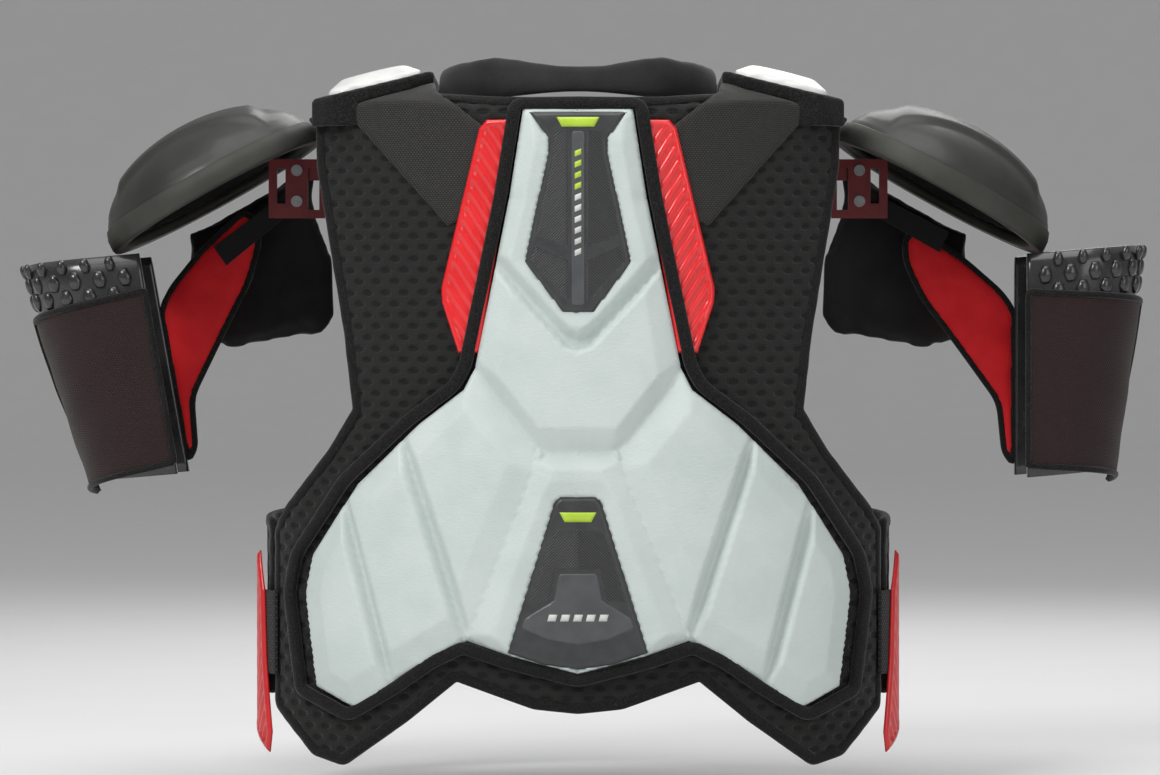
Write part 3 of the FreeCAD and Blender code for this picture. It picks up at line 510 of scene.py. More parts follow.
def foam_finish():
    f = Finish("foam_pale", Roughness=0.55, Specular_IOR_Level=0.42, Sheen_Weight=0.08)
    patchy = f.noise(38, 3)
    f.colour(f.mix(patchy.ramp(0.3, 0.7), (0.545, 0.615, 0.590), (0.600, 0.665, 0.640)))
    f.rough(f.noise(9, 3) * 0.16 + 0.46)
    f.bump(f.noise(2.6, 4, (1, 1, 2.4)).ramp(0.35, 0.65), 0.16, 0.55)
    f.bump(f.cells(0.9), 0.08, 0.35)
    return f.material


def mesh_finish(name="liner_mesh", deep=(0.003, 0.003, 0.003), thread=(0.026, 0.025, 0.023)):
    """Black spacer mesh: offset rows of oval holes in a knitted face, with painted shade in the holes
    and painted highlights on the threads.
    """
    f = Finish(name, Roughness=0.82, Specular_IOR_Level=0.3, Sheen_Weight=0.12,
               Sheen_Roughness=0.5)
    u, w = f.cloth()
    row = (w * (1 / 7.6)).floor()
    across = ((u * (1 / 14.0) + row * 0.5).fract() - 0.5).absolute() * 14.0
    up = ((w * (1 / 7.6)).fract() - 0.5).absolute() * 7.6
    hole = ((across * (1 / 4.6)).power(2.0) + (up * (1 / 2.7)).power(2.0)).power(0.5)
    rim = hole.ramp(0.55, 1.15)
    knit = ((u * 3.9).sine() * 0.5 + 0.5) * ((w * 4.4).sine() * 0.5 + 0.5)
    grain = f.noise(1.1, 2)
    # painted shade and highlight: hole centres take the deep colour as shade, the threads round them
    # the thread colour as highlight, varied by the knit and a random grain
    f.colour(f.mix(rim * (knit * 0.6 + 0.25) * (grain * 0.9 + 0.45), deep, thread))
    f.bump(rim, 1.1, 0.8)
    f.bump(knit, 0.35, 0.6)
    return f.material


def knit_finish(name="binding", dark=(0.004, 0.004, 0.004), light=(0.030, 0.029, 0.028), size=0.8):
    """Fuzzy knitted tape."""
    f = Finish(name, Roughness=0.9, Specular_IOR_Level=0.22, Sheen_Weight=0.22,
               Sheen_Roughness=0.4)
    fuzz = f.noise(size, 3)
    loops = f.cells(1.3)
    f.colour(f.mix(fuzz.ramp(0.42, 0.78), dark, light))
    f.bump(loops, 0.4, 0.6)
    f.bump(fuzz, 0.3, 0.5)
    return f.material


def weave_finish(name, dark, light, pitch=1.4, thread=2.2, rough=0.7, depth=0.35):
    """Plain weave whose floats run across, with painted highlights on the raised floats and painted
    shade between them.
    """
    f = Finish(name, Roughness=rough, Specular_IOR_Level=0.35, Sheen_Weight=0.1)
    u, w = f.cloth()
    row = (w * (1 / pitch)).floor()
    over = ((u * (1 / thread) + row * 0.5).fract() - 0.5).absolute()
    rib = ((w * (1 / pitch)).fract() - 0.5).absolute()
    high = (over.ramp(0.5, 0.12)) * (rib.ramp(0.5, 0.18))
    # painted highlight: the raised floats take the light colour and the gaps between them the dark one
    # as shade, varied by random noise
    f.colour(f.mix(high * (f.noise(3.0, 2) * 0.8 + 0.4), dark, light))
    f.bump(high, depth, 0.8)
    return f.material


def gloss_finish(name, base, other, rough=0.25, coat=0.3, size=14, grain=0.05, **more):
    """Moulded plastic: a little colour drift, fine handling marks and a faint orange peel."""
    f = Finish(name, Roughness=rough, Coat_Weight=coat, Coat_Roughness=0.12, **more)
    f.colour(f.mix(f.noise(size, 3).ramp(0.3, 0.7), base, other))
    f.rough(f.noise(size * 0.4, 4, (1, 1, 0.35)) * 0.18 + (rough - 0.06))
    f.bump(f.noise(1.6, 2), grain, 0.5)
    return f.material


def ribbed_finish(name, base, other, rib, rib_shade, pitch=1.4, rough=0.42, slope=1.0):
    """Moulded plastic with fine diagonal ribs where the field attribute is 1, with painted highlights
    on the rib crests and painted shade in the troughs.
    """
    f = Finish(name, Roughness=rough, Coat_Weight=0.12, Coat_Roughness=0.25)
    x, _, z = f.axes()
    wave = ((x.absolute() * slope + z) * (2 * math.pi / (pitch * 1.414))).sine() * 0.5 + 0.5
    field = f.attribute("field").ramp(0.4, 0.6)
    plain = f.mix(f.noise(9, 3).ramp(0.35, 0.65), base, other)
    # painted highlight and shade: the crests take the lighter rib colour, the troughs the darker one
    ribs = f.mix(wave, rib_shade, rib)
    f.colour(f.mix(field, plain, ribs))
    f.rough(f.noise(5, 3) * 0.2 + (rough - 0.1))
    f.bump(wave * field, 0.5, 0.9)
    f.bump(f.noise(1.2, 2), 0.03, 0.4)
    return f.material


def padding_finish(name, base, other, size=1.4, sheen=0.1, rough=0.75, depth=0.25):
    """Brushed or knitted cover with soft mottling."""
    f = Finish(name, Roughness=rough, Specular_IOR_Level=0.3, Sheen_Weight=sheen,
               Sheen_Roughness=0.4)
    f.colour(f.mix(f.noise(22, 3).ramp(0.3, 0.7), base, other))
    f.bump(f.noise(14, 2), 0.6, 0.35)
    f.bump(f.cells(size), depth, 0.55)
    return f.material


M = {
    "foam": foam_finish(),
    "mesh": mesh_finish(),
    "binding": knit_finish(),
    # a weave's second colour is a painted highlight on its raised floats
    "patch": weave_finish("patch_weave", (0.004, 0.004, 0.004), (0.050, 0.048, 0.044)),
    "collar": padding_finish("collar_fabric", (0.012, 0.012, 0.013), (0.020, 0.020, 0.021), 0.9,
                             0.18, 0.7),
    # the last two colours are the ribs' painted highlight and painted shade
    "plate": ribbed_finish("spine_plate", (0.030, 0.031, 0.033), (0.040, 0.041, 0.043),
                           (0.062, 0.063, 0.064), (0.006, 0.006, 0.007)),
    "strip": gloss_finish("strip_grey", (0.062, 0.064, 0.068), (0.080, 0.082, 0.086), 0.38, 0.1),
    "lime": gloss_finish("accent_tab", (0.42, 0.62, 0.03), (0.50, 0.70, 0.05), 0.34, 0.3),
    "mark": gloss_finish("mark_white", (0.58, 0.58, 0.56), (0.70, 0.70, 0.68), 0.4, 0.1),
    "rail": gloss_finish("rail_red", (0.74, 0.008, 0.012), (0.82, 0.016, 0.020), 0.26, 0.5, 22),
    "wing": gloss_finish("wing_red", (0.56, 0.008, 0.010), (0.66, 0.014, 0.016), 0.34, 0.25, 22),
    "arch": gloss_finish("arch_white", (0.70, 0.70, 0.68), (0.78, 0.78, 0.76), 0.34, 0.25, 20),
    "shell": gloss_finish("cap_shell", (0.014, 0.014, 0.012), (0.022, 0.022, 0.018), 0.46, 0.1, 30),
    "rim": gloss_finish("cap_rim", (0.024, 0.024, 0.019), (0.036, 0.036, 0.028), 0.6, 0.0, 30, 0.12),
    "lining": padding_finish("lining_black", (0.004, 0.004, 0.004), (0.009, 0.009, 0.009), 1.6),
    # second colour: painted highlight on the raised floats
    "webbing": weave_finish("strap_webbing", (0.003, 0.003, 0.003), (0.024, 0.024, 0.024), 2.0,
                            2.6, 0.75, 0.4),
    "hookloop": knit_finish("hook_loop", (0.003, 0.003, 0.003), (0.020, 0.020, 0.020), 0.5),
    "bracket": gloss_finish("bracket_red", (0.150, 0.006, 0.010), (0.200, 0.010, 0.014), 0.4, 0.15),
    "steel": gloss_finish("rivet_steel", (0.30, 0.30, 0.31), (0.40, 0.40, 0.41), 0.32, 0.0, 6,
                          Metallic=0.9),
    "guard": gloss_finish("guard_shell", (0.016, 0.016, 0.016), (0.026, 0.026, 0.026), 0.22, 0.4, 18),
    "red": padding_finish("lining_red", (0.62, 0.006, 0.012), (0.72, 0.012, 0.018), 0.9, 0.2, 0.7),
    # second colour: painted highlight on the raised floats
    "wrap": weave_finish("wrap_stretch", (0.004, 0.002, 0.002), (0.040, 0.010, 0.010), 1.6, 1.8,
                         0.78, 0.3),
}


# ---------------------------------------------------------------- the pale back panel
PLATE_UP = [(0, 443.5), (33, 443.5), (20, 426), (20, 415), (27.6, 382), (36, 343), (10, 309),
            (0, 309)]
PLATE_LOW = [(0, 185), (12.5, 185), (16, 181), (47.5, 80.5), (24, 73), (0, 69.5)]
FOAM_EDGE = [(0, 446), (38, 446), (47.5, 386), (59, 330), (71, 272), (79, 257), (110, 234),
             (154, 193), (187, 143), (192, 118), (184, 54), (155, 40), (127, 57), (99, 77),
             (77, 88), (47, 78), (0, 66)]
# Each moulded segment of the right half: corners as (across, up, bevel width, bevel foot
# height) of the edge that starts there; width 0 is an edge with no bevel.
SEGMENTS = [
    [(0, 446, 4, 13), (38, 446, 13, 12), (47.5, 386, 13, 12), (58, 346, 8, 9.5),
     (8, 292, 8, 9.5), (0, 289.5, 0, 0)],
    [(0, 284.5, 2.4, 12), (8, 287, 2.4, 12), (59, 341, 18, 11.5), (71, 272, 10, 9.5),
     (26, 215.6, 16, 9.5), (0, 215.6, 0, 0)],
    [(73, 269, 17, 12), (121, 224, 7, 9.5), (76, 91, 17, 14), (27, 213, 19, 10.5)],
    [(122.6, 223, 16, 12), (162, 181, 7, 9.5), (129.6, 60, 17, 12), (99, 77, 17, 12),
     (79, 90, 3.2, 10)],
    [(163.6, 179, 16, 12), (187, 143, 16, 12), (192, 118, 16, 12), (184, 54, 16, 12),
     (155, 40, 16, 12), (131, 57, 3.2, 10)],
    [(0, 213.4, 10, 10.5), (26, 213.4, 13, 14), (75, 90, 8, 12), (47, 78, 0, 0), (0, 66, 0, 0)],
]
CREST, FLOOR, POCKET = 18.3, 9.8, 12.0


def foam_height(x, z, rim, uw):
    """Pillowed segments with flat faces, bevelled edges and sunk grooves between them."""
    p = np.stack([np.abs(x), z], -1)
    h = np.full(len(p), FLOOR)
    plates = [whole(PLATE_UP), whole(PLATE_LOW)]
    for segment in SEGMENTS:
        shape = [(a, b) for a, b, _, _ in segment]
        within = inside(p, shape)
        q = p[within]
        fall = np.zeros(len(q))
        for (a, b, width, foot), (c, d, _, _) in zip(segment, segment[1:] + segment[:1]):
            if width:
                away = edge_distance(q, [(a, b), (c, d)], False)
                fall += (np.clip(1 - away / width, 0, 1) * (CREST - foot)) ** 5
        for plate in plates:
            away = edge_distance(q, plate)
            fall += (np.clip(1 - away / 11, 0, 1) * (CREST - 15.4)) ** 5
        h[within] = CREST - fall ** 0.2
    shallow = edge_distance(p, [(26, 214), (76, 91)], False)
    h = np.where((shallow < 1.4) & (h < 13.4), 13.4, h)
    border = edge_distance(p, whole(FOAM_EDGE)[:len(FOAM_EDGE)], False)
    rolled = 10.5 + 3.0 * np.sqrt(np.clip(border / 3, 0, 1)) + border
    h = np.where(border < 3, np.minimum(h, rolled), h)
    for plate in plates:
        away = edge_distance(p, plate)
        h = np.where(inside(p, plate) & (away > 0.2), POCKET, h)
    swell = np.array([noise.noise(Vector((a * 0.028, b * 0.028, 1.7))) for a, b in uw])
    return h + 0.25 * swell


FOAM_STEP = 1.9
foam = panel("spine_foam", whole(FOAM_EDGE), foam_height, SKIN, FOAM_STEP, "vest", M["foam"],
             at=FOAM, slot="foam_pale", replaces=["back_foam_panel"])


def offset_path(path, by):
    """A closed outline moved outwards, with mitred corners no longer than twice the offset."""
    p = np.asarray(path, float)
    p = p[np.linalg.norm(p - np.roll(p, 1, 0), axis=1) > 0.05]
    before, after = p - np.roll(p, 1, 0), np.roll(p, -1, 0) - p
    area = (p[:, 0] * np.roll(p[:, 1], -1) - np.roll(p[:, 0], -1) * p[:, 1]).sum()
    turn = 1 if area < 0 else -1
    n1 = np.stack([-before[:, 1], before[:, 0]], -1) / np.linalg.norm(before, axis=1)[:, None]
    n2 = np.stack([-after[:, 1], after[:, 0]], -1) / np.linalg.norm(after, axis=1)[:, None]
    mitre = n1 + n2
    mitre /= np.maximum((mitre * n1).sum(1), 0.25)[:, None]
    mitre /= np.maximum(np.linalg.norm(mitre, axis=1) / 2, 1)[:, None]
    return p + turn * by * mitre


ribbon("spine_foam_tape", offset_path(whole(FOAM_EDGE), 4.2), roll(8.8, SKIN, 13.2), "vest",
       M["binding"], slot="binding", replaces=["back_foam_binding"], uneven=0.15, corner=6)


# ---------------------------------------------------------------- plates let into it
def plate_height(base, fields, sunk=0.7):
    def height(x, z, rim, uw):
        p = np.stack([np.abs(x), z], -1)
        h = base - 2.2 * np.clip(1 - rim / 2.6, 0, 1) ** 2
        for shape in fields:
            away = edge_distance(p, shape)
            h = np.where(inside(p, shape), h - sunk * np.clip(away / 0.8, 0, 1), h)
        return h
    return height


def mark_fields(made, fields):
    """Sets the field attribute to 1 where the ribs are."""
    co = np.zeros(len(made.data.vertices) * 3)
    made.data.vertices.foreach_get("co", co)
    co = co.reshape(-1, 3) / MM
    p = np.stack([np.abs(co[:, 0]), co[:, 2] + REST], -1)
    value = np.zeros(len(p), np.float32)
    for shape in fields:
        value = np.maximum(value, inside(p, shape))
    made.data.attributes.new("field", "FLOAT", "POINT").data.foreach_set("value", value)


UP_FIELDS = [
    [(6.6, 431), (14.5, 431), (16.5, 424), (16.5, 415), (24.2, 380), (27.6, 361), (6.6, 352)],
    [(6.6, 344), (28.2, 353.5), (32, 344), (6.6, 315.5)],
]
LOW_FIELDS = [[(0, 163), (14, 163), (17.5, 160), (31.5, 116), (19, 116), (14.5, 138), (0, 138)]]
PLATE = 16.9
upper = panel("spine_plate_high", whole(PLATE_UP), plate_height(PLATE, UP_FIELDS), 12.3,
              1.1, "vest", M["plate"], at=PLATE, slot="spine_plate",
              replaces=["upper_spine_plate"])
mark_fields(upper, UP_FIELDS)
lower = panel("spine_plate_low", whole(PLATE_LOW), plate_height(PLATE, LOW_FIELDS, 0.5),
              12.3, 1.4, "vest", M["plate"], at=PLATE, slot="spine_plate",
              replaces=["lower_spine_plate"])
mark_fields(lower, LOW_FIELDS)


def raised(name, outline, low, high, body, material, face=BACK, step=1.6, bevel=0.7, **more):
    """A small moulded inlay with softened edges."""
    return panel(name, outline,
                 lambda x, z, rim, uw: high - (high - low) * 0.6 * np.clip(1 - rim / bevel, 0, 1) ** 2,
                 low, step, body, material, face=face, at=high, **more)


raised("spine_strip", whole([(0, 431), (4.6, 431), (4.6, 345), (4.6, 313.5), (0, 313.5)]),
       PLATE - 0.3, PLATE + 0.25, "vest", M["strip"], slot="spine_plate")
for number, outline in enumerate(([(0, 440), (14.5, 440), (11, 433.5), (0, 433.5)],
                                  [(0, 175), (12.5, 175), (9, 168.5), (0, 168.5)])):
    raised(f"accent_tab_{number}", whole(outline), PLATE - 0.4, PLATE + 1.0, "vest", M["lime"],
           slot="accent_tab", replaces=[("upper_spine_tab", "lower_spine_tab")[number]])
for number in range(10):
    z = 414.5 - number * 7.4
    raised(f"spine_bar_{number}", [(-2.2, z + 2.6), (2.2, z + 4.4), (2.2, z + 0.6), (-2.2, z - 1.2)],
           PLATE + 0.1, PLATE + 0.5, "vest", M["lime" if number < 4 else "mark"], bevel=0.3)
raised("low_panel", whole([(0, 134), (13, 134), (16.5, 116), (36, 104), (38.5, 97), (20, 89.5),
                           (0, 86)]), PLATE - 0.3, PLATE + 0.3, "vest", M["strip"],
       slot="spine_plate")
for number in range(5):
    x = (number - 2) * 8.6
    raised(f"low_bar_{number}", [(x - 3.4, 102), (x + 2.2, 102), (x + 3.4, 106.5), (x - 2.2, 106.5)],
           PLATE + 0.2, PLATE + 0.6, "vest", M["mark"], bevel=0.3)


# ---------------------------------------------------------------- red rails beside it
RAIL = [(40, 439), (61, 439), (66, 433), (91.5, 326), (91, 316), (80, 282), (66, 282)]


def rail_height(x, z, rim, uw):
    """A raised rim round a field of diagonal ribs."""
    p = np.stack([np.abs(x), z], -1)
    wave = 0.5 + 0.5 * np.sin(2 * math.pi * (z - 1.55 * np.abs(x)) / 12.6)
    ribs = 8.6 + 1.5 * np.clip(wave * 1.7 - 0.35, 0, 1)
    edge = edge_distance(p, RAIL)
    lip = 10.4 - 1.8 * np.clip(1 - edge / 1.8, 0, 1) ** 2
    return np.where(edge < 3.6, lip, np.where(edge < 4.6, lip + (ribs - lip) * (edge - 3.6), ribs))


def pair(make, name, node_names):
    """make("right_" + name) for the right and its mirror image for the left."""
    right = make(f"right_{name}", [f"right_{n}" for n in node_names])
    left = mirrored(right, f"left_{name}", right["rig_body"].replace("right_", "left_"),
                    [f"left_{n}" for n in node_names])
    return right, left


pair(lambda name, nodes: panel(name, RAIL, rail_height, 6.3, 1.3, "vest", M["rail"],
                               slot="rail_red", replaces=nodes), "rail_ribbed", ["back_rail"])


# ---------------------------------------------------------------- back liner
BACK_EDGE = [(0, 39), (30, 42), (82, 60), (116, 32), (160, 0), (181, 6), (207, 36),
             (214.5, 70), (214.5, 150), (200, 178), (170, 216), (153, 244), (159, 296),
             (168, 350), (178, 410), (181, 520), (98, 520), (98, 458), (58, 455.3), (0, 454)]


def mesh_height(base, depth=1.1, sag=0.5):
    """The mesh's offset rows of holes, as shallow dimples, and a slight unevenness."""
    def height(x, z, rim, uw):
        row = np.floor(uw[:, 1] / 7.6)
        across = np.abs((uw[:, 0] / 14 + row * 0.5) % 1 - 0.5) * 14
        up = np.abs((uw[:, 1] / 7.6) % 1 - 0.5) * 7.6
        hole = np.hypot(across / 4.6, up / 2.7)
        loose = np.array([noise.noise(Vector((a * 0.02, b * 0.02, 5.1))) for a, b in uw])
        return base - depth * np.clip(1.15 - hole, 0, 1) + sag * loose
    return height


LINER_STEP = 2.4


def clamp_flank(outline, end_depth):
    """Outline points beyond the flank's end, brought back onto the line where it stops."""
    h = 3.0
    uw = lay(resample(outline, 6), h)
    last = BACK_R * TURN + FLANK_R * (math.acos(end_depth / (FLANK_R + h)) - TURN)
    uw[:, 0] = np.clip(uw[:, 0], -last, last)
    return uw


BACK_UW = clamp_flank(whole(BACK_EDGE[::-1]), 34)
panel_back = panel("back_mesh", offset_path(BACK_UW, -4), mesh_height(5.4), 0.5, LINER_STEP,
                   "vest", M["mesh"], at=3.0, slot="liner_mesh", replaces=["back_liner"], laid=True)
ribbon("back_edge_tape", offset_path(BACK_UW, -4), roll(8.4, -0.6, 6.6), "vest", M["binding"],
       slot="binding", replaces=["back_liner_binding"], laid=True, uneven=0.2, corner=6)


# ---------------------------------------------------------------- woven patches
PATCH = [(160, 449), (104, 466), (60, 432), (78, 372), (88, 368)]


def make_patch(name, nodes):
    made = panel(name, PATCH, lambda x, z, rim, uw: 7.1 - 0.4 * np.clip(1 - rim / 1.5, 0, 1), 6.1,
                 3.0, "vest", M["patch"], slot="patch_weave", replaces=nodes)
    return made


patches = pair(make_patch, "woven_patch", ["yoke_patch"])


# ---------------------------------------------------------------- soft copies of CAD solids
def cloth_uv(mesh):
    """Lays a cloth map over a mesh: arc length round the torso, and up it or over the top."""
    co = np.zeros(len(mesh.vertices) * 3)
    mesh.vertices.foreach_get("co", co)
    p = co.reshape(-1, 3) / MM + (0, 0, REST)
    normal = np.zeros(len(mesh.vertices) * 3)
    mesh.vertices.foreach_get("normal", normal)
    normal = normal.reshape(-1, 3)
    u = np.arctan2(p[:, 0], 60 + np.abs(p[:, 1])) * 190
    w = np.where(np.abs(normal[:, 2]) > 0.6, TOP - 60 + ROUND_D - np.abs(p[:, 1]), p[:, 2])
    u = np.where(np.abs(normal[:, 2]) > 0.6, p[:, 0], u)
    layer = mesh.uv_layers.get("cloth") or mesh.uv_layers.new(name="cloth")
    index = np.zeros(len(mesh.loops), int)
    mesh.loops.foreach_get("vertex_index", index)
    layer.data.foreach_set("uv", (np.stack([u, w], -1)[index] * MM).ravel())


def evaluated(made):
    bpy.context.view_layer.update()
    graph = bpy.context.evaluated_depsgraph_get()
    mesh = bpy.data.meshes.new_from_object(made.evaluated_get(graph))
    old = made.data
    made.modifiers.clear()
    made.data = mesh
    bpy.data.meshes.remove(old)
    return made


def loose_copy(nodes, name):
    """A new unparented object with the joined meshes of CAD nodes."""
    bm = bmesh.new()
    for node in nodes:
        bm.from_mesh(NODES[node].data)
    bmesh.ops.remove_doubles(bm, verts=bm.verts, dist=1e-5)
    mesh = bpy.data.meshes.new(name)
    bm.to_mesh(mesh)
    bm.free()
    made = bpy.data.objects.new(name, mesh)
    bpy.context.scene.collection.objects.link(made)
    return made


def modify(made, kind, **settings):
    added = made.modifiers.new(kind, kind)
    for key, value in settings.items():
        setattr(added, key, value)
    return added


def coordinates(mesh):
    co = np.zeros(len(mesh.vertices) * 3)
    mesh.vertices.foreach_get("co", co)
    return co.reshape(-1, 3)


def puffed(made, cap, pressure, shrink):
    """Inflates a remeshed piece as cloth; no point moves further than cap millimetres."""
    start = coordinates(made.data)
    normal = np.zeros(len(made.data.vertices) * 3)
    made.data.vertices.foreach_get("normal", normal)
    start = start - normal.reshape(-1, 3) * shrink * MM
    made.data.vertices.foreach_set("co", start.ravel())
    scene = bpy.context.scene
    cloth = modify(made, "CLOTH")
    cloth.settings.use_pressure = True
    cloth.settings.uniform_pressure_force = pressure
    cloth.settings.effector_weights.gravity = 0
    cloth.settings.mass = 0.15
    cloth.settings.tension_stiffness = 12
    cloth.settings.compression_stiffness = 12
    cloth.settings.bending_stiffness = 0.6
    frames = 20
    cloth.point_cache.frame_start, cloth.point_cache.frame_end = 1, frames
    for number in range(1, frames + 1):
        scene.frame_set(number)
    evaluated(made)
    scene.frame_set(1)
    now = coordinates(made.data)
    move = now - start
    far = np.linalg.norm(move, axis=1)
    limit = np.minimum(1, cap * MM / np.maximum(far, 1e-9))
    made.data.vertices.foreach_set("co", (start + move * limit[:, None]).ravel())
    made.data.update()
    return made


def kept_off(made, least):
    """Moves any point that lies nearer the torso than least millimetres back out to it."""
    p = coordinates(made.data) / MM + (0, 0, REST)
    wall, top = height_over(p)
    deep = np.maximum(wall, top) < least
    up = deep & (top >= wall)
    p[up, 2] += (least - top[up]) / math.cos(SLOPE)
    out = deep & (top < wall)
    away = np.stack([p[:, 0], p[:, 1] + np.sign(p[:, 1]) * 60, 0 * p[:, 2]], -1)
    away /= np.maximum(np.linalg.norm(away, axis=1), 1e-9)[:, None]
    p[out] += away[out] * (least - wall[out])[:, None]
    made.data.vertices.foreach_set("co", ((p - (0, 0, REST)) * MM).ravel())
    made.data.update()


def dressed(made, nodes, body, material, slot):
    """Gives a soft copy its cloth map, finish, body and slot, in the place of its nodes."""
    made.data.shade_smooth()
    cloth_uv(made.data)
    made.data.materials.clear()
    made.data.materials.append(material)
    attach(made, body)
    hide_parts(*nodes)
    if slot:
        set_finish(made, slot)


def cushion(name, nodes, body, material, voxel, cap, pressure, shrink, slot, floor=None,
            subdivide=1):
    """A stuffed piece in the place of CAD nodes, shaped by a cloth simulation."""
    made = loose_copy(nodes, name)
    modify(made, "REMESH", mode="VOXEL", voxel_size=voxel * MM)
    modify(made, "SMOOTH", factor=0.5, iterations=3)
    evaluated(made)
    puffed(made, cap, pressure, shrink)
    modify(made, "SMOOTH", factor=0.5, iterations=2)
    if subdivide:
        modify(made, "SUBSURF", levels=subdivide, render_levels=subdivide)
    evaluated(made)
    if floor is not None:
        kept_off(made, floor)
    dressed(made, nodes, body, material, slot)
    return made


def softened(name, nodes, body, material, voxel, smooth, slot, swell=0.0):
    """A thin soft piece: the CAD solids with their edges worn round."""
    made = loose_copy(nodes, name)
    modify(made, "REMESH", mode="VOXEL", voxel_size=voxel * MM)
    modify(made, "SMOOTH", factor=0.5, iterations=smooth)
    evaluated(made)
    if swell:
        normal = np.zeros(len(made.data.vertices) * 3)
        made.data.vertices.foreach_get("normal", normal)
        co = coordinates(made.data) + normal.reshape(-1, 3) * swell * MM
        made.data.vertices.foreach_set("co", co.ravel())
    dressed(made, nodes, body, material, slot)
    return made


def both_sides(right, name, nodes):
    left = mirrored(right, "left_" + name, right["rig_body"].replace("right_", "left_"),
                    ["left_" + n for n in nodes])
    return left


# ---------------------------------------------------------------- shoulders
yoke = softened("right_yoke_mesh", ["right_shoulder_yoke"], "vest", M["mesh"], 2.4, 2,
                "liner_mesh")
both_sides(yoke, "yoke_mesh", ["shoulder_yoke"])
arch = cushion("right_arch_pad", ["right_shoulder_arch"], "vest", M["arch"], 4.0, 7.0, 5.0, 1.0,
               "arch_white", SKIN)
both_sides(arch, "arch_pad", ["shoulder_arch"])
tape = softened("right_arch_tape", ["right_arch_binding"], "vest", M["binding"], 2.0, 3,
                "binding", 0.4)
both_sides(tape, "arch_tape", ["arch_binding"])


# ---------------------------------------------------------------- collar
def make_collar():
    """A rolled padded band round the neck, highest each side of its middle."""
    half_x, half_y, centre, wall, front = 97.0, 112.0, -20.0, 11.0, 60.0
    stop = math.asin((front - centre) / half_y)
    rings, uv = [], []
    count, section = 150, 20
    for i in range(count + 1):
        a = -math.pi / 2 - (math.pi / 2 + stop) + (math.pi + 2 * stop) * i / count
        out = np.array([half_x * math.cos(a), centre + half_y * math.sin(a)])
        normal = np.array([math.cos(a) / half_x, math.sin(a) / half_y])
        normal /= np.linalg.norm(normal)
        x = abs(out[0])
        back = max(0.0, -math.sin(a))
        dip = 8.0 * back ** 2 * max(0.0, math.cos(math.pi * min(x, 61) / 122))
        high = 483 - dip - 3.0 * max(0, x - 61) / 36
        low = 456.2 + 2.0 * math.cos(math.pi * min(x, 80) / 80) * back
        tuck = 0.6 * noise.noise(Vector((i * 0.21, 0.4, 0.9)))
        for k in range(section):
            t = 2 * math.pi * k / section
            c, s = math.cos(t), math.sin(t)
            across = wall / 2 * math.copysign(abs(c) ** 0.75, c) * (1 - 0.18 * s)
            up = (high - low) / 2 * math.copysign(abs(s) ** 0.6, s)
            seam = -0.7 * math.exp(-((s + 0.62) / 0.07) ** 2) if c > 0 else 0
            at = out + normal * (across - wall / 2 + seam)
            rings.append((at[0], at[1], (high + low) / 2 + up + tuck * max(s, 0)))
            uv.append((i * 3.0, k * 2.2))
    faces = bands(count + 1, section, False)
    faces += [tuple(range(section)), tuple(range(count * section, (count + 1) * section))[::-1]]
    made = piece("neck_collar", rings, faces, "vest", M["collar"], uv=uv, slot="collar_fabric",
                 replaces=["collar"])
    fix_normals(made)


make_collar()


# ---------------------------------------------------------------- chest side
CHEST_EDGE = [(0, 54), (110, 46), (190, 44), (214, 52), (214, 165), (196, 182), (160, 214),
              (148, 262), (150, 330), (158, 395), (178, 428), (181, 520), (98, 520), (98, 452),
              (66, 400), (0, 380)]


def chest_outline():
    """The chest panel's edge on the cloth map, with wings round the flanks."""
    h = 3.0
    seen = resample(CHEST_EDGE, 6, False)
    laid = lay(seen, h)
    rear = BACK_R * TURN + FLANK_R * (math.asin(30 / (FLANK_R + h)) + math.pi / 2 - TURN)
    low = laid[(seen[:, 1] < 60) & (seen[:, 0] < 200)]
    high = laid[seen[:, 1] > 170]
    return np.vstack([low, [(rear, 45.5), (rear, 167.5)], high])


def whole_uv(half):
    left = [(-u, w) for u, w in half[::-1] if u > 0.5]
    return np.array([tuple(q) for q in half] + left)


HALF_CHEST = chest_outline()
HALF_CHEST[:, 1] = np.minimum(HALF_CHEST[:, 1], 484)
CHEST_UW = whole_uv(HALF_CHEST)
chest_mesh = panel("chest_mesh", offset_path(CHEST_UW[::-1], -3), mesh_height(5.4), 0.5, LINER_STEP,
                   "chest", M["mesh"], at=3.0, face=FRONT, slot="liner_mesh",
                   replaces=["chest_liner"], laid=True)
ribbon("chest_edge_tape", offset_path(CHEST_UW[::-1], -4), roll(8.4, -0.4, 6.5), "chest", M["binding"],
       face=FRONT, slot="binding", replaces=["chest_liner_binding"], laid=True, uneven=0.2, corner=6)
chest_pad = cushion("right_chest_cushion", ["right_chest_pad"], "chest", M["foam"], 5.0, 7.0, 4.0,
                    1.0, "foam_pale", SKIN)
both_sides(chest_pad, "chest_cushion", ["chest_pad"])
cushion("belly_cushion", ["belly_pad"], "chest", M["foam"], 4.5, 6.0, 4.0, 0.6, "foam_pale",
        SKIN)
STERNUM = [(0, 368), (22, 368), (30, 330), (22, 262), (9, 242), (0, 242)]
STERNUM_FIELDS = [[(6, 356), (17, 356), (24.5, 329), (6, 318)],
                  [(6, 310), (24.6, 321), (18.5, 268), (6, 252)]]
sternum = panel("sternum_moulding", whole(STERNUM), plate_height(11.9, STERNUM_FIELDS), 6.3, 1.4,
                "chest", M["plate"], face=FRONT, at=11.9, slot="spine_plate",
                replaces=["sternum_plate"])
mark_fields(sternum, STERNUM_FIELDS)
raised("sternum_accent", whole([(0, 361), (12, 361), (9, 355), (0, 355)]), 11.5, 13.2, "chest",
       M["lime"], face=FRONT, slot="accent_tab", replaces=["sternum_tab"])


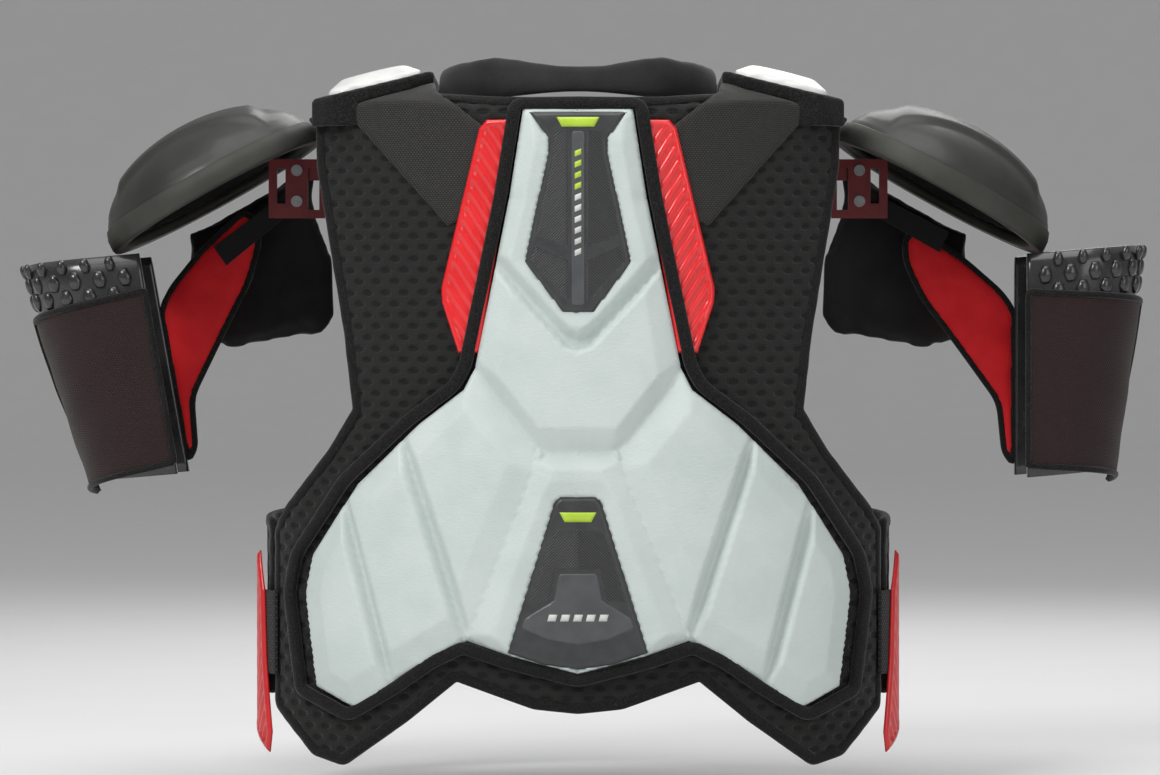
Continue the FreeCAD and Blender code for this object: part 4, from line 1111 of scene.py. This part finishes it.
# ---------------------------------------------------------------- side straps and ribbed wings
def flank(y, h):
    """Arc length of the flank point at y, h outside the torso."""
    return BACK_R * TURN + FLANK_R * (np.arccos(np.clip(-y / (FLANK_R + h), -1, 1)) - TURN)


WING = [(-16, 145), (10, 128), (14, 80), (4, 24), (-40, 6), (-43, 20), (-34, 70), (-30, 118)]
WING_UW = np.array([(flank(y, 11.0), z) for y, z in resample(WING, 6)])


def wing_height(x, z, rim, uw):
    wave = 0.5 + 0.5 * np.sin(2 * math.pi * (uw[:, 1] + 1.5 * (uw[:, 0] - 260)) / 13.5)
    ribs = 10.9 + 1.6 * np.clip(wave * 1.7 - 0.35, 0, 1)
    lip = 12.7 - 1.6 * np.clip(1 - rim / 1.8, 0, 1) ** 2
    return np.where(rim < 4, lip, np.where(rim < 5, lip + (ribs - lip) * (rim - 4), ribs))


def make_wing(name, nodes):
    return panel(name, WING_UW, wing_height, 9.9, 1.6, "right_side_strap", M["wing"], at=11.0,
                 slot="wing_red", replaces=nodes, laid=True)


pair(make_wing, "ribbed_wing", ["side_wing"])
strap = softened("right_webbing", ["right_side_strap"], "right_side_strap", M["webbing"], 1.0, 1,
                 "strap_webbing")
both_sides(strap, "webbing", ["side_strap"])
hook = softened("right_hook_patch", ["right_strap_hook"], "right_side_strap", M["hookloop"], 0.3, 0,
                "hook_loop")
both_sides(hook, "hook_patch", ["strap_hook"])
loop = softened("right_loop_patch", ["right_chest_loop"], "chest", M["hookloop"], 0.3, 0,
                "hook_loop")
both_sides(loop, "loop_patch", ["chest_loop"])


# ---------------------------------------------------------------- shoulder caps
CAP_AT, CAP_LEAN = (255.5, 0.0, 398.0), math.radians(29)
CAP_LONG, CAP_WIDE, CAP_HIGH = 81.0, 88.0, 46.0


def cap_point(a, b, c):
    """A point of the right cap from its own axes: along it, across it and up out of it."""
    return (CAP_AT[0] + a * math.cos(CAP_LEAN) + c * math.sin(CAP_LEAN), b,
            CAP_AT[2] - a * math.sin(CAP_LEAN) + c * math.cos(CAP_LEAN))


def cap_skin(turn, rise, shrink, relief):
    """A point of the dome: turn round it, rise from 0 at its rim to 1 at its crown."""
    lift_angle = rise * math.pi / 2
    flat = math.cos(lift_angle)
    a, b = (CAP_LONG - shrink) * flat * math.cos(turn), (CAP_WIDE - shrink) * flat * math.sin(turn)
    c = (CAP_HIGH - shrink) * math.sin(lift_angle)
    if relief:
        # a raised middle panel with a bevelled edge, and a crease round the dome
        across = 50 - 0.16 * a
        panel_edge = min((across - abs(b)) / 7, (a + 58) / 8, (62 - a) / 9)
        step = min(max(panel_edge, 0), 1)
        c += 3.4 * step * step * (3 - 2 * step)
        groove = (c - 15) / 1.6
        c -= 0.7 * math.exp(-groove * groove)
    return cap_point(a, b, c)


def shell_of(rows, body, name, material, slot, replaces):
    """A closed mesh from rings of points that run round a loop."""
    co = [p for row in rows for p in row]
    faces = bands(len(rows), len(rows[0]))
    made = piece(name, co, faces, body, material, slot=slot, replaces=replaces)
    fix_normals(made)
    return made


def make_cap():
    count, levels = 128, 36
    outer = [[cap_skin(2 * math.pi * k / count, 0.985 * i / levels, 0, True) for k in range(count)]
             for i in range(levels + 1)]
    inner = [[cap_skin(2 * math.pi * k / count, 0.985 * i / levels, 4, False) for k in range(count)]
             for i in range(levels + 1)]
    right = dome_mesh("right_cap_dome", outer, inner, M["shell"], "cap_shell", ["right_cap_shell"])
    mirrored(right, "left_cap_dome", "left_cap", ["left_cap_shell"])
    section = [(0.0, -6.0), (2.4, -6.6), (3.4, -4), (3.2, 3), (2.4, 8.6), (1.6, 9.4), (0.2, 9.2),
               (-1.0, 4), (-7.6, -0.4), (-8.0, -3), (-7.0, -6)]
    rows = []
    for i in range(count):
        a = 2 * math.pi * i / count
        row = []
        for out, up in section:
            flat = math.sqrt(max(0.0, 1 - (max(up, 0) / CAP_HIGH) ** 2))
            row.append(cap_point((CAP_LONG * flat + out - 1) * math.cos(a),
                                 (CAP_WIDE * flat + out - 1) * math.sin(a), up))
        rows.append(row)
    rim = shell_of(rows, "right_cap", "right_cap_band", M["rim"], "cap_rim", ["right_cap_rim"])
    mirrored(rim, "left_cap_band", "left_cap", ["left_cap_rim"])


def dome_mesh(name, outer, inner, material, slot, replaces):
    m, n = len(outer[0]), len(outer)
    co = [p for row in outer for p in row] + [p for row in inner for p in row]
    second = m * n
    faces = []
    for i in range(n - 1):
        for k in range(m):
            a, b, c, d = i * m + k, i * m + (k + 1) % m, (i + 1) * m + (k + 1) % m, (i + 1) * m + k
            faces += [(a, b, c, d), (second + d, second + c, second + b, second + a)]
    faces += [(k, second + k, second + (k + 1) % m, (k + 1) % m) for k in range(m)]
    last = (n - 1) * m
    faces += [tuple(last + k for k in range(m)), tuple(second + last + k for k in range(m))[::-1]]
    made = piece(name, co, faces, "right_cap", material, slot=slot, replaces=replaces)
    fix_normals(made)
    return made


make_cap()
cap_pad = cushion("right_cap_padding", ["right_cap_liner"], "right_cap", M["lining"], 4.0, 3.0, 2.0,
                  0.5, "lining_black", None, 0)
both_sides(cap_pad, "cap_padding", ["cap_liner"])
flap = cushion("right_deltoid_flap", ["right_cap_flap"], "right_cap", M["lining"], 3.0, 4.0, 5.0,
               1.0, "lining_black", None, 1)
both_sides(flap, "deltoid_flap", ["cap_flap"])


# ---------------------------------------------------------------- bicep guards
TILT = math.radians(-5)
GUARD_TOP, GUARD_FOOT, GUARD_HALF = 351.0, 197.0, 50.0
# where the guard's flat sides start and where its round begins, each at its foot and its top
INNER_FOOT, INNER_TOP, ROUND_FOOT, ROUND_TOP = 294.5, 308, 308, 344


def guard_place(side, points):
    """Points drawn on the upright right guard, moved to where that side's guard hangs."""
    p = np.asarray(points, float) * ((1, 1, 1) if side == "right" else (-1, 1, 1))
    pivot = np.array([200.0 if side == "right" else -200.0, 0, 391])
    q = p - pivot
    turned = np.stack([q[:, 0] * math.cos(TILT) + q[:, 2] * math.sin(TILT), q[:, 1],
                       -q[:, 0] * math.sin(TILT) + q[:, 2] * math.cos(TILT)], -1)
    return turned + pivot - (0, 0, 9.5 if side == "right" else -9.5)


def guard_lines(z):
    """Where the guard's flat sides start and end at height z."""
    t = (z - GUARD_FOOT) / (GUARD_TOP - GUARD_FOOT)
    return INNER_FOOT + (INNER_TOP - INNER_FOOT) * t, ROUND_FOOT + (ROUND_TOP - ROUND_FOOT) * t


def guard_skin(s, z, h):
    """The guard's section: s runs from its inner back edge along the back and round the arm."""
    inner, middle = guard_lines(z)
    flat = middle - inner
    r = GUARD_HALF + h
    if s <= flat:
        return (inner + s, -r, z)
    a = (s - flat) / GUARD_HALF
    if a <= math.pi:
        return (middle + r * math.sin(a), -r * math.cos(a), z)
    return (middle - (a - math.pi) * GUARD_HALF, r, z)


def make_bumps(side):
    """Long domed bumps in offset rows on the top of the guard."""
    co, faces = [], []
    rows = [(346, 6.5, 3.4), (335.5, 0, 4.6), (324, 6.5, 4.6)]
    m, levels = 18, 5
    for z0, shift, size in rows:
        for k in range(14):
            s0 = 12 + shift * 1.35 + k * 17.5
            if s0 > 205:
                continue
            first = len(co)
            drift = noise.noise(Vector((k * 1.7, z0 * 0.31, 4.2)))
            for j in range(levels):
                f = math.cos(j / (levels - 1) * math.pi / 2)
                h = 3.6 * math.sin(j / (levels - 1) * math.pi / 2) - 0.4
                for i in range(m):
                    a = 2 * math.pi * i / m
                    hexed = 1 + 0.055 * math.cos(6 * a)
                    f2 = max(f, 0.02) ** 0.8
                    co.append(guard_skin(s0 + drift + (size + 0.2) * hexed * f2 * math.cos(a),
                                         min(z0 + (size + 2.2) * hexed * f2 * math.sin(a), 353.5), h))
            faces += bands(levels, m, False, first)
            faces.append(tuple(first + (levels - 1) * m + i for i in range(m)))
            faces.append(tuple(first + i for i in range(m))[::-1])
    made = piece(f"{side}_guard_bumps", guard_place(side, co), faces, f"{side}_bicep_guard",
                 M["guard"], slot="guard_shell")
    fix_normals(made)


def make_guard_shell(side):
    """The arm shell with a domed, rounded top edge."""
    count, levels = 90, 24

    def at(i, z, h):
        inner, middle = guard_lines(z)
        flat = middle - inner
        return guard_skin((2 * flat + math.pi * GUARD_HALF) * i / count, z, h)
    rows = []
    for i in range(count + 1):
        heights = [GUARD_FOOT + (GUARD_TOP - GUARD_FOOT) * j / levels for j in range(levels + 1)]
        row = [at(i, z, -4.5 * max(0.0, (z - GUARD_TOP + 12) / 12) ** 2) for z in heights]
        row.append(at(i, GUARD_TOP + 0.5, -7.5))
        row += [at(i, z, -9.0) for z in heights[::-1]]
        rows.append(row)
    m = len(rows[0])
    co = [p for row in rows for p in row]
    faces = bands(count + 1, m, False)
    faces += [tuple(range(m)), tuple(range(count * m, (count + 1) * m))[::-1]]
    made = piece(f"{side}_arm_shell", guard_place(side, co), faces, f"{side}_bicep_guard",
                 M["guard"], slot="guard_shell", replaces=[f"{side}_bicep_shell"])
    fix_normals(made)


def cut_of(made):
    """Width, length and area in metres of the flat cut that a sheet was laid from, which is the
    outline in its cloth map. Both faces of the sheet share the map."""
    layer = made.data.uv_layers["cloth"].data
    uv = np.zeros(len(layer) * 2)
    layer.foreach_get("uv", uv)
    uv = uv.reshape(-1, 2)
    twice = 0.0
    for face in made.data.polygons:
        p = uv[face.loop_start:face.loop_start + face.loop_total]
        q = np.roll(p, -1, 0)
        twice += abs(float((p[:, 0] * q[:, 1] - p[:, 1] * q[:, 0]).sum())) / 2
    width, length = (float(size) for size in np.ptp(uv, axis=0))
    return width, length, min(twice / 2, width * length)


def make_wrap(side):
    """The stretch wrap: a thin fabric sleeve with a few pulled folds, taped along its edges."""
    count, levels = 84, 44
    flat_part = ROUND_TOP - INNER_TOP
    end = flat_part + math.pi * GUARD_HALF * 0.5 - 8

    def at(i, j, h):
        f, g = i / count, j / levels
        z = 205.5 + (325 - 205.5) * g - (14 * g + 16.5 * (1 - g)) * f
        fold = 0.9 * noise.noise(Vector((f * 2.2, g * 5.0 + f * 2.5, 2.0 if side == "left" else 7.0)))
        pull = 0.5 * math.sin(9 * g + 5 * f) * math.sin(math.pi * f)
        bow = 2.0 * math.sin(math.pi * g) * (1 - abs(2 * f - 1)) * 0.35
        return guard_skin(end * f, z, h + fold + pull - bow)
    outer = [[at(i, j, 4.0) for j in range(levels + 1)] for i in range(count + 1)]
    inner = [[at(i, j, 2.4) for j in range(levels + 1)] for i in range(count + 1)]
    m, n = levels + 1, count + 1
    co = [p for row in outer for p in row] + [p for row in inner for p in row]
    second = m * n
    faces = []
    for i in range(count):
        for j in range(levels):
            a, b, c, d = i * m + j, i * m + j + 1, (i + 1) * m + j + 1, (i + 1) * m + j
            faces += [(a, b, c, d), (second + d, second + c, second + b, second + a)]
    border = ([i * m for i in range(n)] + [count * m + j for j in range(1, m)] +
              [i * m + levels for i in range(n - 2, -1, -1)] + [j for j in range(m - 2, 0, -1)])
    faces += [(border[k], border[(k + 1) % len(border)], second + border[(k + 1) % len(border)],
               second + border[k]) for k in range(len(border))]
    stretch = (GUARD_HALF + 3.2) / GUARD_HALF
    around = [x if x <= flat_part else flat_part + (x - flat_part) * stretch
              for x in (end * i / count for i in range(n))]
    uv = [(around[i], 205.5 + 119.5 * g - (14 * g + 16.5 * (1 - g)) * i / count)
          for i in range(n) for g in (j / levels for j in range(m))] * 2
    made = piece(f"{side}_stretch_wrap", guard_place(side, co), faces, f"{side}_bicep_wrap",
                 M["wrap"], uv=uv, slot="wrap_stretch", replaces=[f"{side}_bicep_wrap"])
    fix_normals(made)
    tape_line = [outer[i][0] for i in range(n)] + [outer[count][j] for j in range(1, m)]
    tape_line += [outer[i][levels] for i in range(n - 2, -1, -1)]
    tape_line += [outer[0][j] for j in range(m - 2, 0, -1)]
    tube(f"{side}_wrap_tape", guard_place(side, tape_line), 2.3, f"{side}_bicep_wrap",
         M["binding"], "binding", squeeze=0.75)
    return made


def tube(name, line, radius, body, material, slot, squeeze=1.0):
    """A rolled edge that follows a closed line of points."""
    line = resample(np.asarray(line, float), 3.0)
    n, count = len(line), 8
    ahead = np.roll(line, -1, 0) - np.roll(line, 1, 0)
    ahead /= np.maximum(np.linalg.norm(ahead, axis=1), 1e-9)[:, None]
    up = np.array([0.31, 0.27, 0.91])
    co = []
    for i in range(n):
        a = np.cross(ahead[i], up)
        a /= np.linalg.norm(a)
        b = np.cross(ahead[i], a)
        for k in range(count):
            t = 2 * math.pi * k / count
            co.append(line[i] + radius * (a * math.cos(t) * squeeze + b * math.sin(t)))
    made = piece(name, co, bands(n, count), body, material, slot=slot)
    fix_normals(made)
    return made


EAR = [(232, 371), (240, 377), (271, 353), (296, 327), (304, 313), (294.4, 205), (289, 214),
       (288.5, 250), (261, 296), (241, 328), (231, 355)]


def make_ear(side):
    """The red front pad: crowned both ways inside its outline, with a rolled tape round it."""
    edge = resample(rounded(EAR, 9), 2.2)
    low, high = edge.min(0), edge.max(0)
    grid = np.array([(x, z) for z in np.arange(low[1], high[1], 2.6)
                     for x in np.arange(low[0], high[0], 2.6)])
    grid = grid[inside(grid, edge)]
    grid = grid[edge_distance(grid, edge) > 1.5]
    flat = np.vstack([edge, grid])
    count = len(edge)
    rim = [(i, (i + 1) % count) for i in range(count)]
    verts, _, tris, *_ = delaunay_2d_cdt([Vector(q) for q in flat], rim, [], 1, 1e-4)
    verts = np.array([tuple(v) for v in verts])
    tris = [tuple(t) for t in tris if len(t) == 3]
    depth = np.minimum(edge_distance(verts, edge), 14) / 14
    crown = 4.6 * np.sqrt(np.clip(1 - (1 - depth) ** 2, 0, 1))
    wrinkle = np.array([noise.noise(Vector((x * 0.05, z * 0.09, 3))) for x, z in verts]) * depth
    back = np.stack([verts[:, 0], 45 - crown - 0.9 * wrinkle, verts[:, 1]], -1)
    front = np.stack([verts[:, 0], 45 + 0.8 * crown, verts[:, 1]], -1)
    n = len(verts)
    uses = {(t[i], t[(i + 1) % 3]) for t in tris for i in range(3)}
    walls = [(i, j, j + n, i + n) for i, j in uses if (j, i) not in uses]
    faces = tris + [tuple(i + n for i in t[::-1]) for t in tris] + walls
    made = piece(f"{side}_ear_padding", guard_place(side, np.vstack([back, front])), faces,
                 f"{side}_bicep_guard", M["red"], uv=np.vstack([verts, verts]), slot="lining_red",
                 replaces=[f"{side}_bicep_pad"])
    fix_normals(made)
    line = [(x, 45, z) for x, z in edge]
    tape = tube(f"{side}_ear_tape", guard_place(side, line), 2.6, f"{side}_bicep_guard",
                M["binding"], "binding")
    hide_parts(f"{side}_bicep_binding")


for side in ("left", "right"):
    make_guard_shell(side)
    make_bumps(side)
    wrap = make_wrap(side)
    width, length, area = cut_of(wrap)
    softened(f"{side}_wrap_hook_strip", [f"{side}_wrap_hook"], f"{side}_bicep_wrap",
             M["hookloop"], 0.3, 0, "hook_loop")
    make_ear(side)
for patch in patches:
    width, length, area = cut_of(patch)


# ---------------------------------------------------------------- finishes of the CAD parts kept
KEPT = {"cap_bracket": "bracket", "bracket_rivets": "steel", "cap_tab": "bracket",
        "guard_hanger": "webbing"}
for part, finish in KEPT.items():
    for side in ("left", "right"):
        kept = NODES[f"{side}_{part}"]
        kept.data.materials.clear()
        kept.data.materials.append(M[finish])


# ---------------------------------------------------------------- floor, camera and light
def make_stage():
    finish = Finish("floor_pale", Roughness=0.85)
    finish.colour(finish.mix(finish.noise(120, 2), (0.80, 0.80, 0.80), (0.83, 0.83, 0.83)))
    low = CAD_BOX[0].z - 0.02
    mesh = bpy.data.meshes.new("floor")
    # a wide floor that sweeps up into a wall far outside every view
    profile = [(1.5 * i, low) for i in range(1, 9)]
    profile += [(12 + 6 * math.sin(a), low + 6 * (1 - math.cos(a)))
                for a in (math.pi / 2 * i / 12 for i in range(1, 13))]
    profile.append((18, low + 14))
    count = 72
    co = [(r * math.cos(2 * math.pi * k / count), r * math.sin(2 * math.pi * k / count), z)
          for r, z in profile for k in range(count)]
    faces = [(i * count + k, (i + 1) * count + k, (i + 1) * count + (k + 1) % count,
              i * count + (k + 1) % count) for i in range(len(profile) - 1) for k in range(count)]
    faces.append(tuple(range(count)))
    mesh.from_pydata(co, [], faces)
    mesh.shade_smooth()
    made = bpy.data.objects.new("floor", mesh)
    bpy.context.scene.collection.objects.link(made)
    made.data.materials.append(finish.material)


def lamp(name, at, aim, size, power):
    data = bpy.data.lights.new(name, "AREA")
    data.energy, data.size = power, size
    made = bpy.data.objects.new(name, data)
    bpy.context.scene.collection.objects.link(made)
    made.location = at
    made.rotation_euler = (Vector(aim) - Vector(at)).to_track_quat("-Z", "Y").to_euler()


def make_light_and_camera():
    world = bpy.data.worlds.new("studio")
    bpy.context.scene.world = world
    world.use_nodes = True
    world.node_tree.nodes["Background"].inputs["Color"].default_value = (1, 1, 1, 1)
    world.node_tree.nodes["Background"].inputs["Strength"].default_value = 0.42
    aim = (0, 0, -0.18)
    lamp("key", (-1.5, -1.9, 1.6), aim, 1.0, 42)
    lamp("fill", (1.6, -2.2, 0.6), aim, 1.4, 12)
    lamp("top", (0.0, -0.3, 1.8), aim, 1.6, 20)
    lamp("rim", (0.4, 1.9, 1.3), aim, 1.2, 14)
    view = bpy.context.scene.view_settings
    view.view_transform = "Standard"
    data = bpy.data.cameras.new("camera")
    data.lens, data.sensor_width = 136.9, 36
    data.clip_start, data.clip_end = 0.1, 50
    camera = bpy.data.objects.new("camera", data)
    bpy.context.scene.collection.objects.link(camera)
    camera.location = (0.00136, -3.1, -0.1913)
    camera.rotation_euler = (math.pi / 2, 0, 0)
    bpy.context.scene.camera = camera


make_stage()
make_light_and_camera()
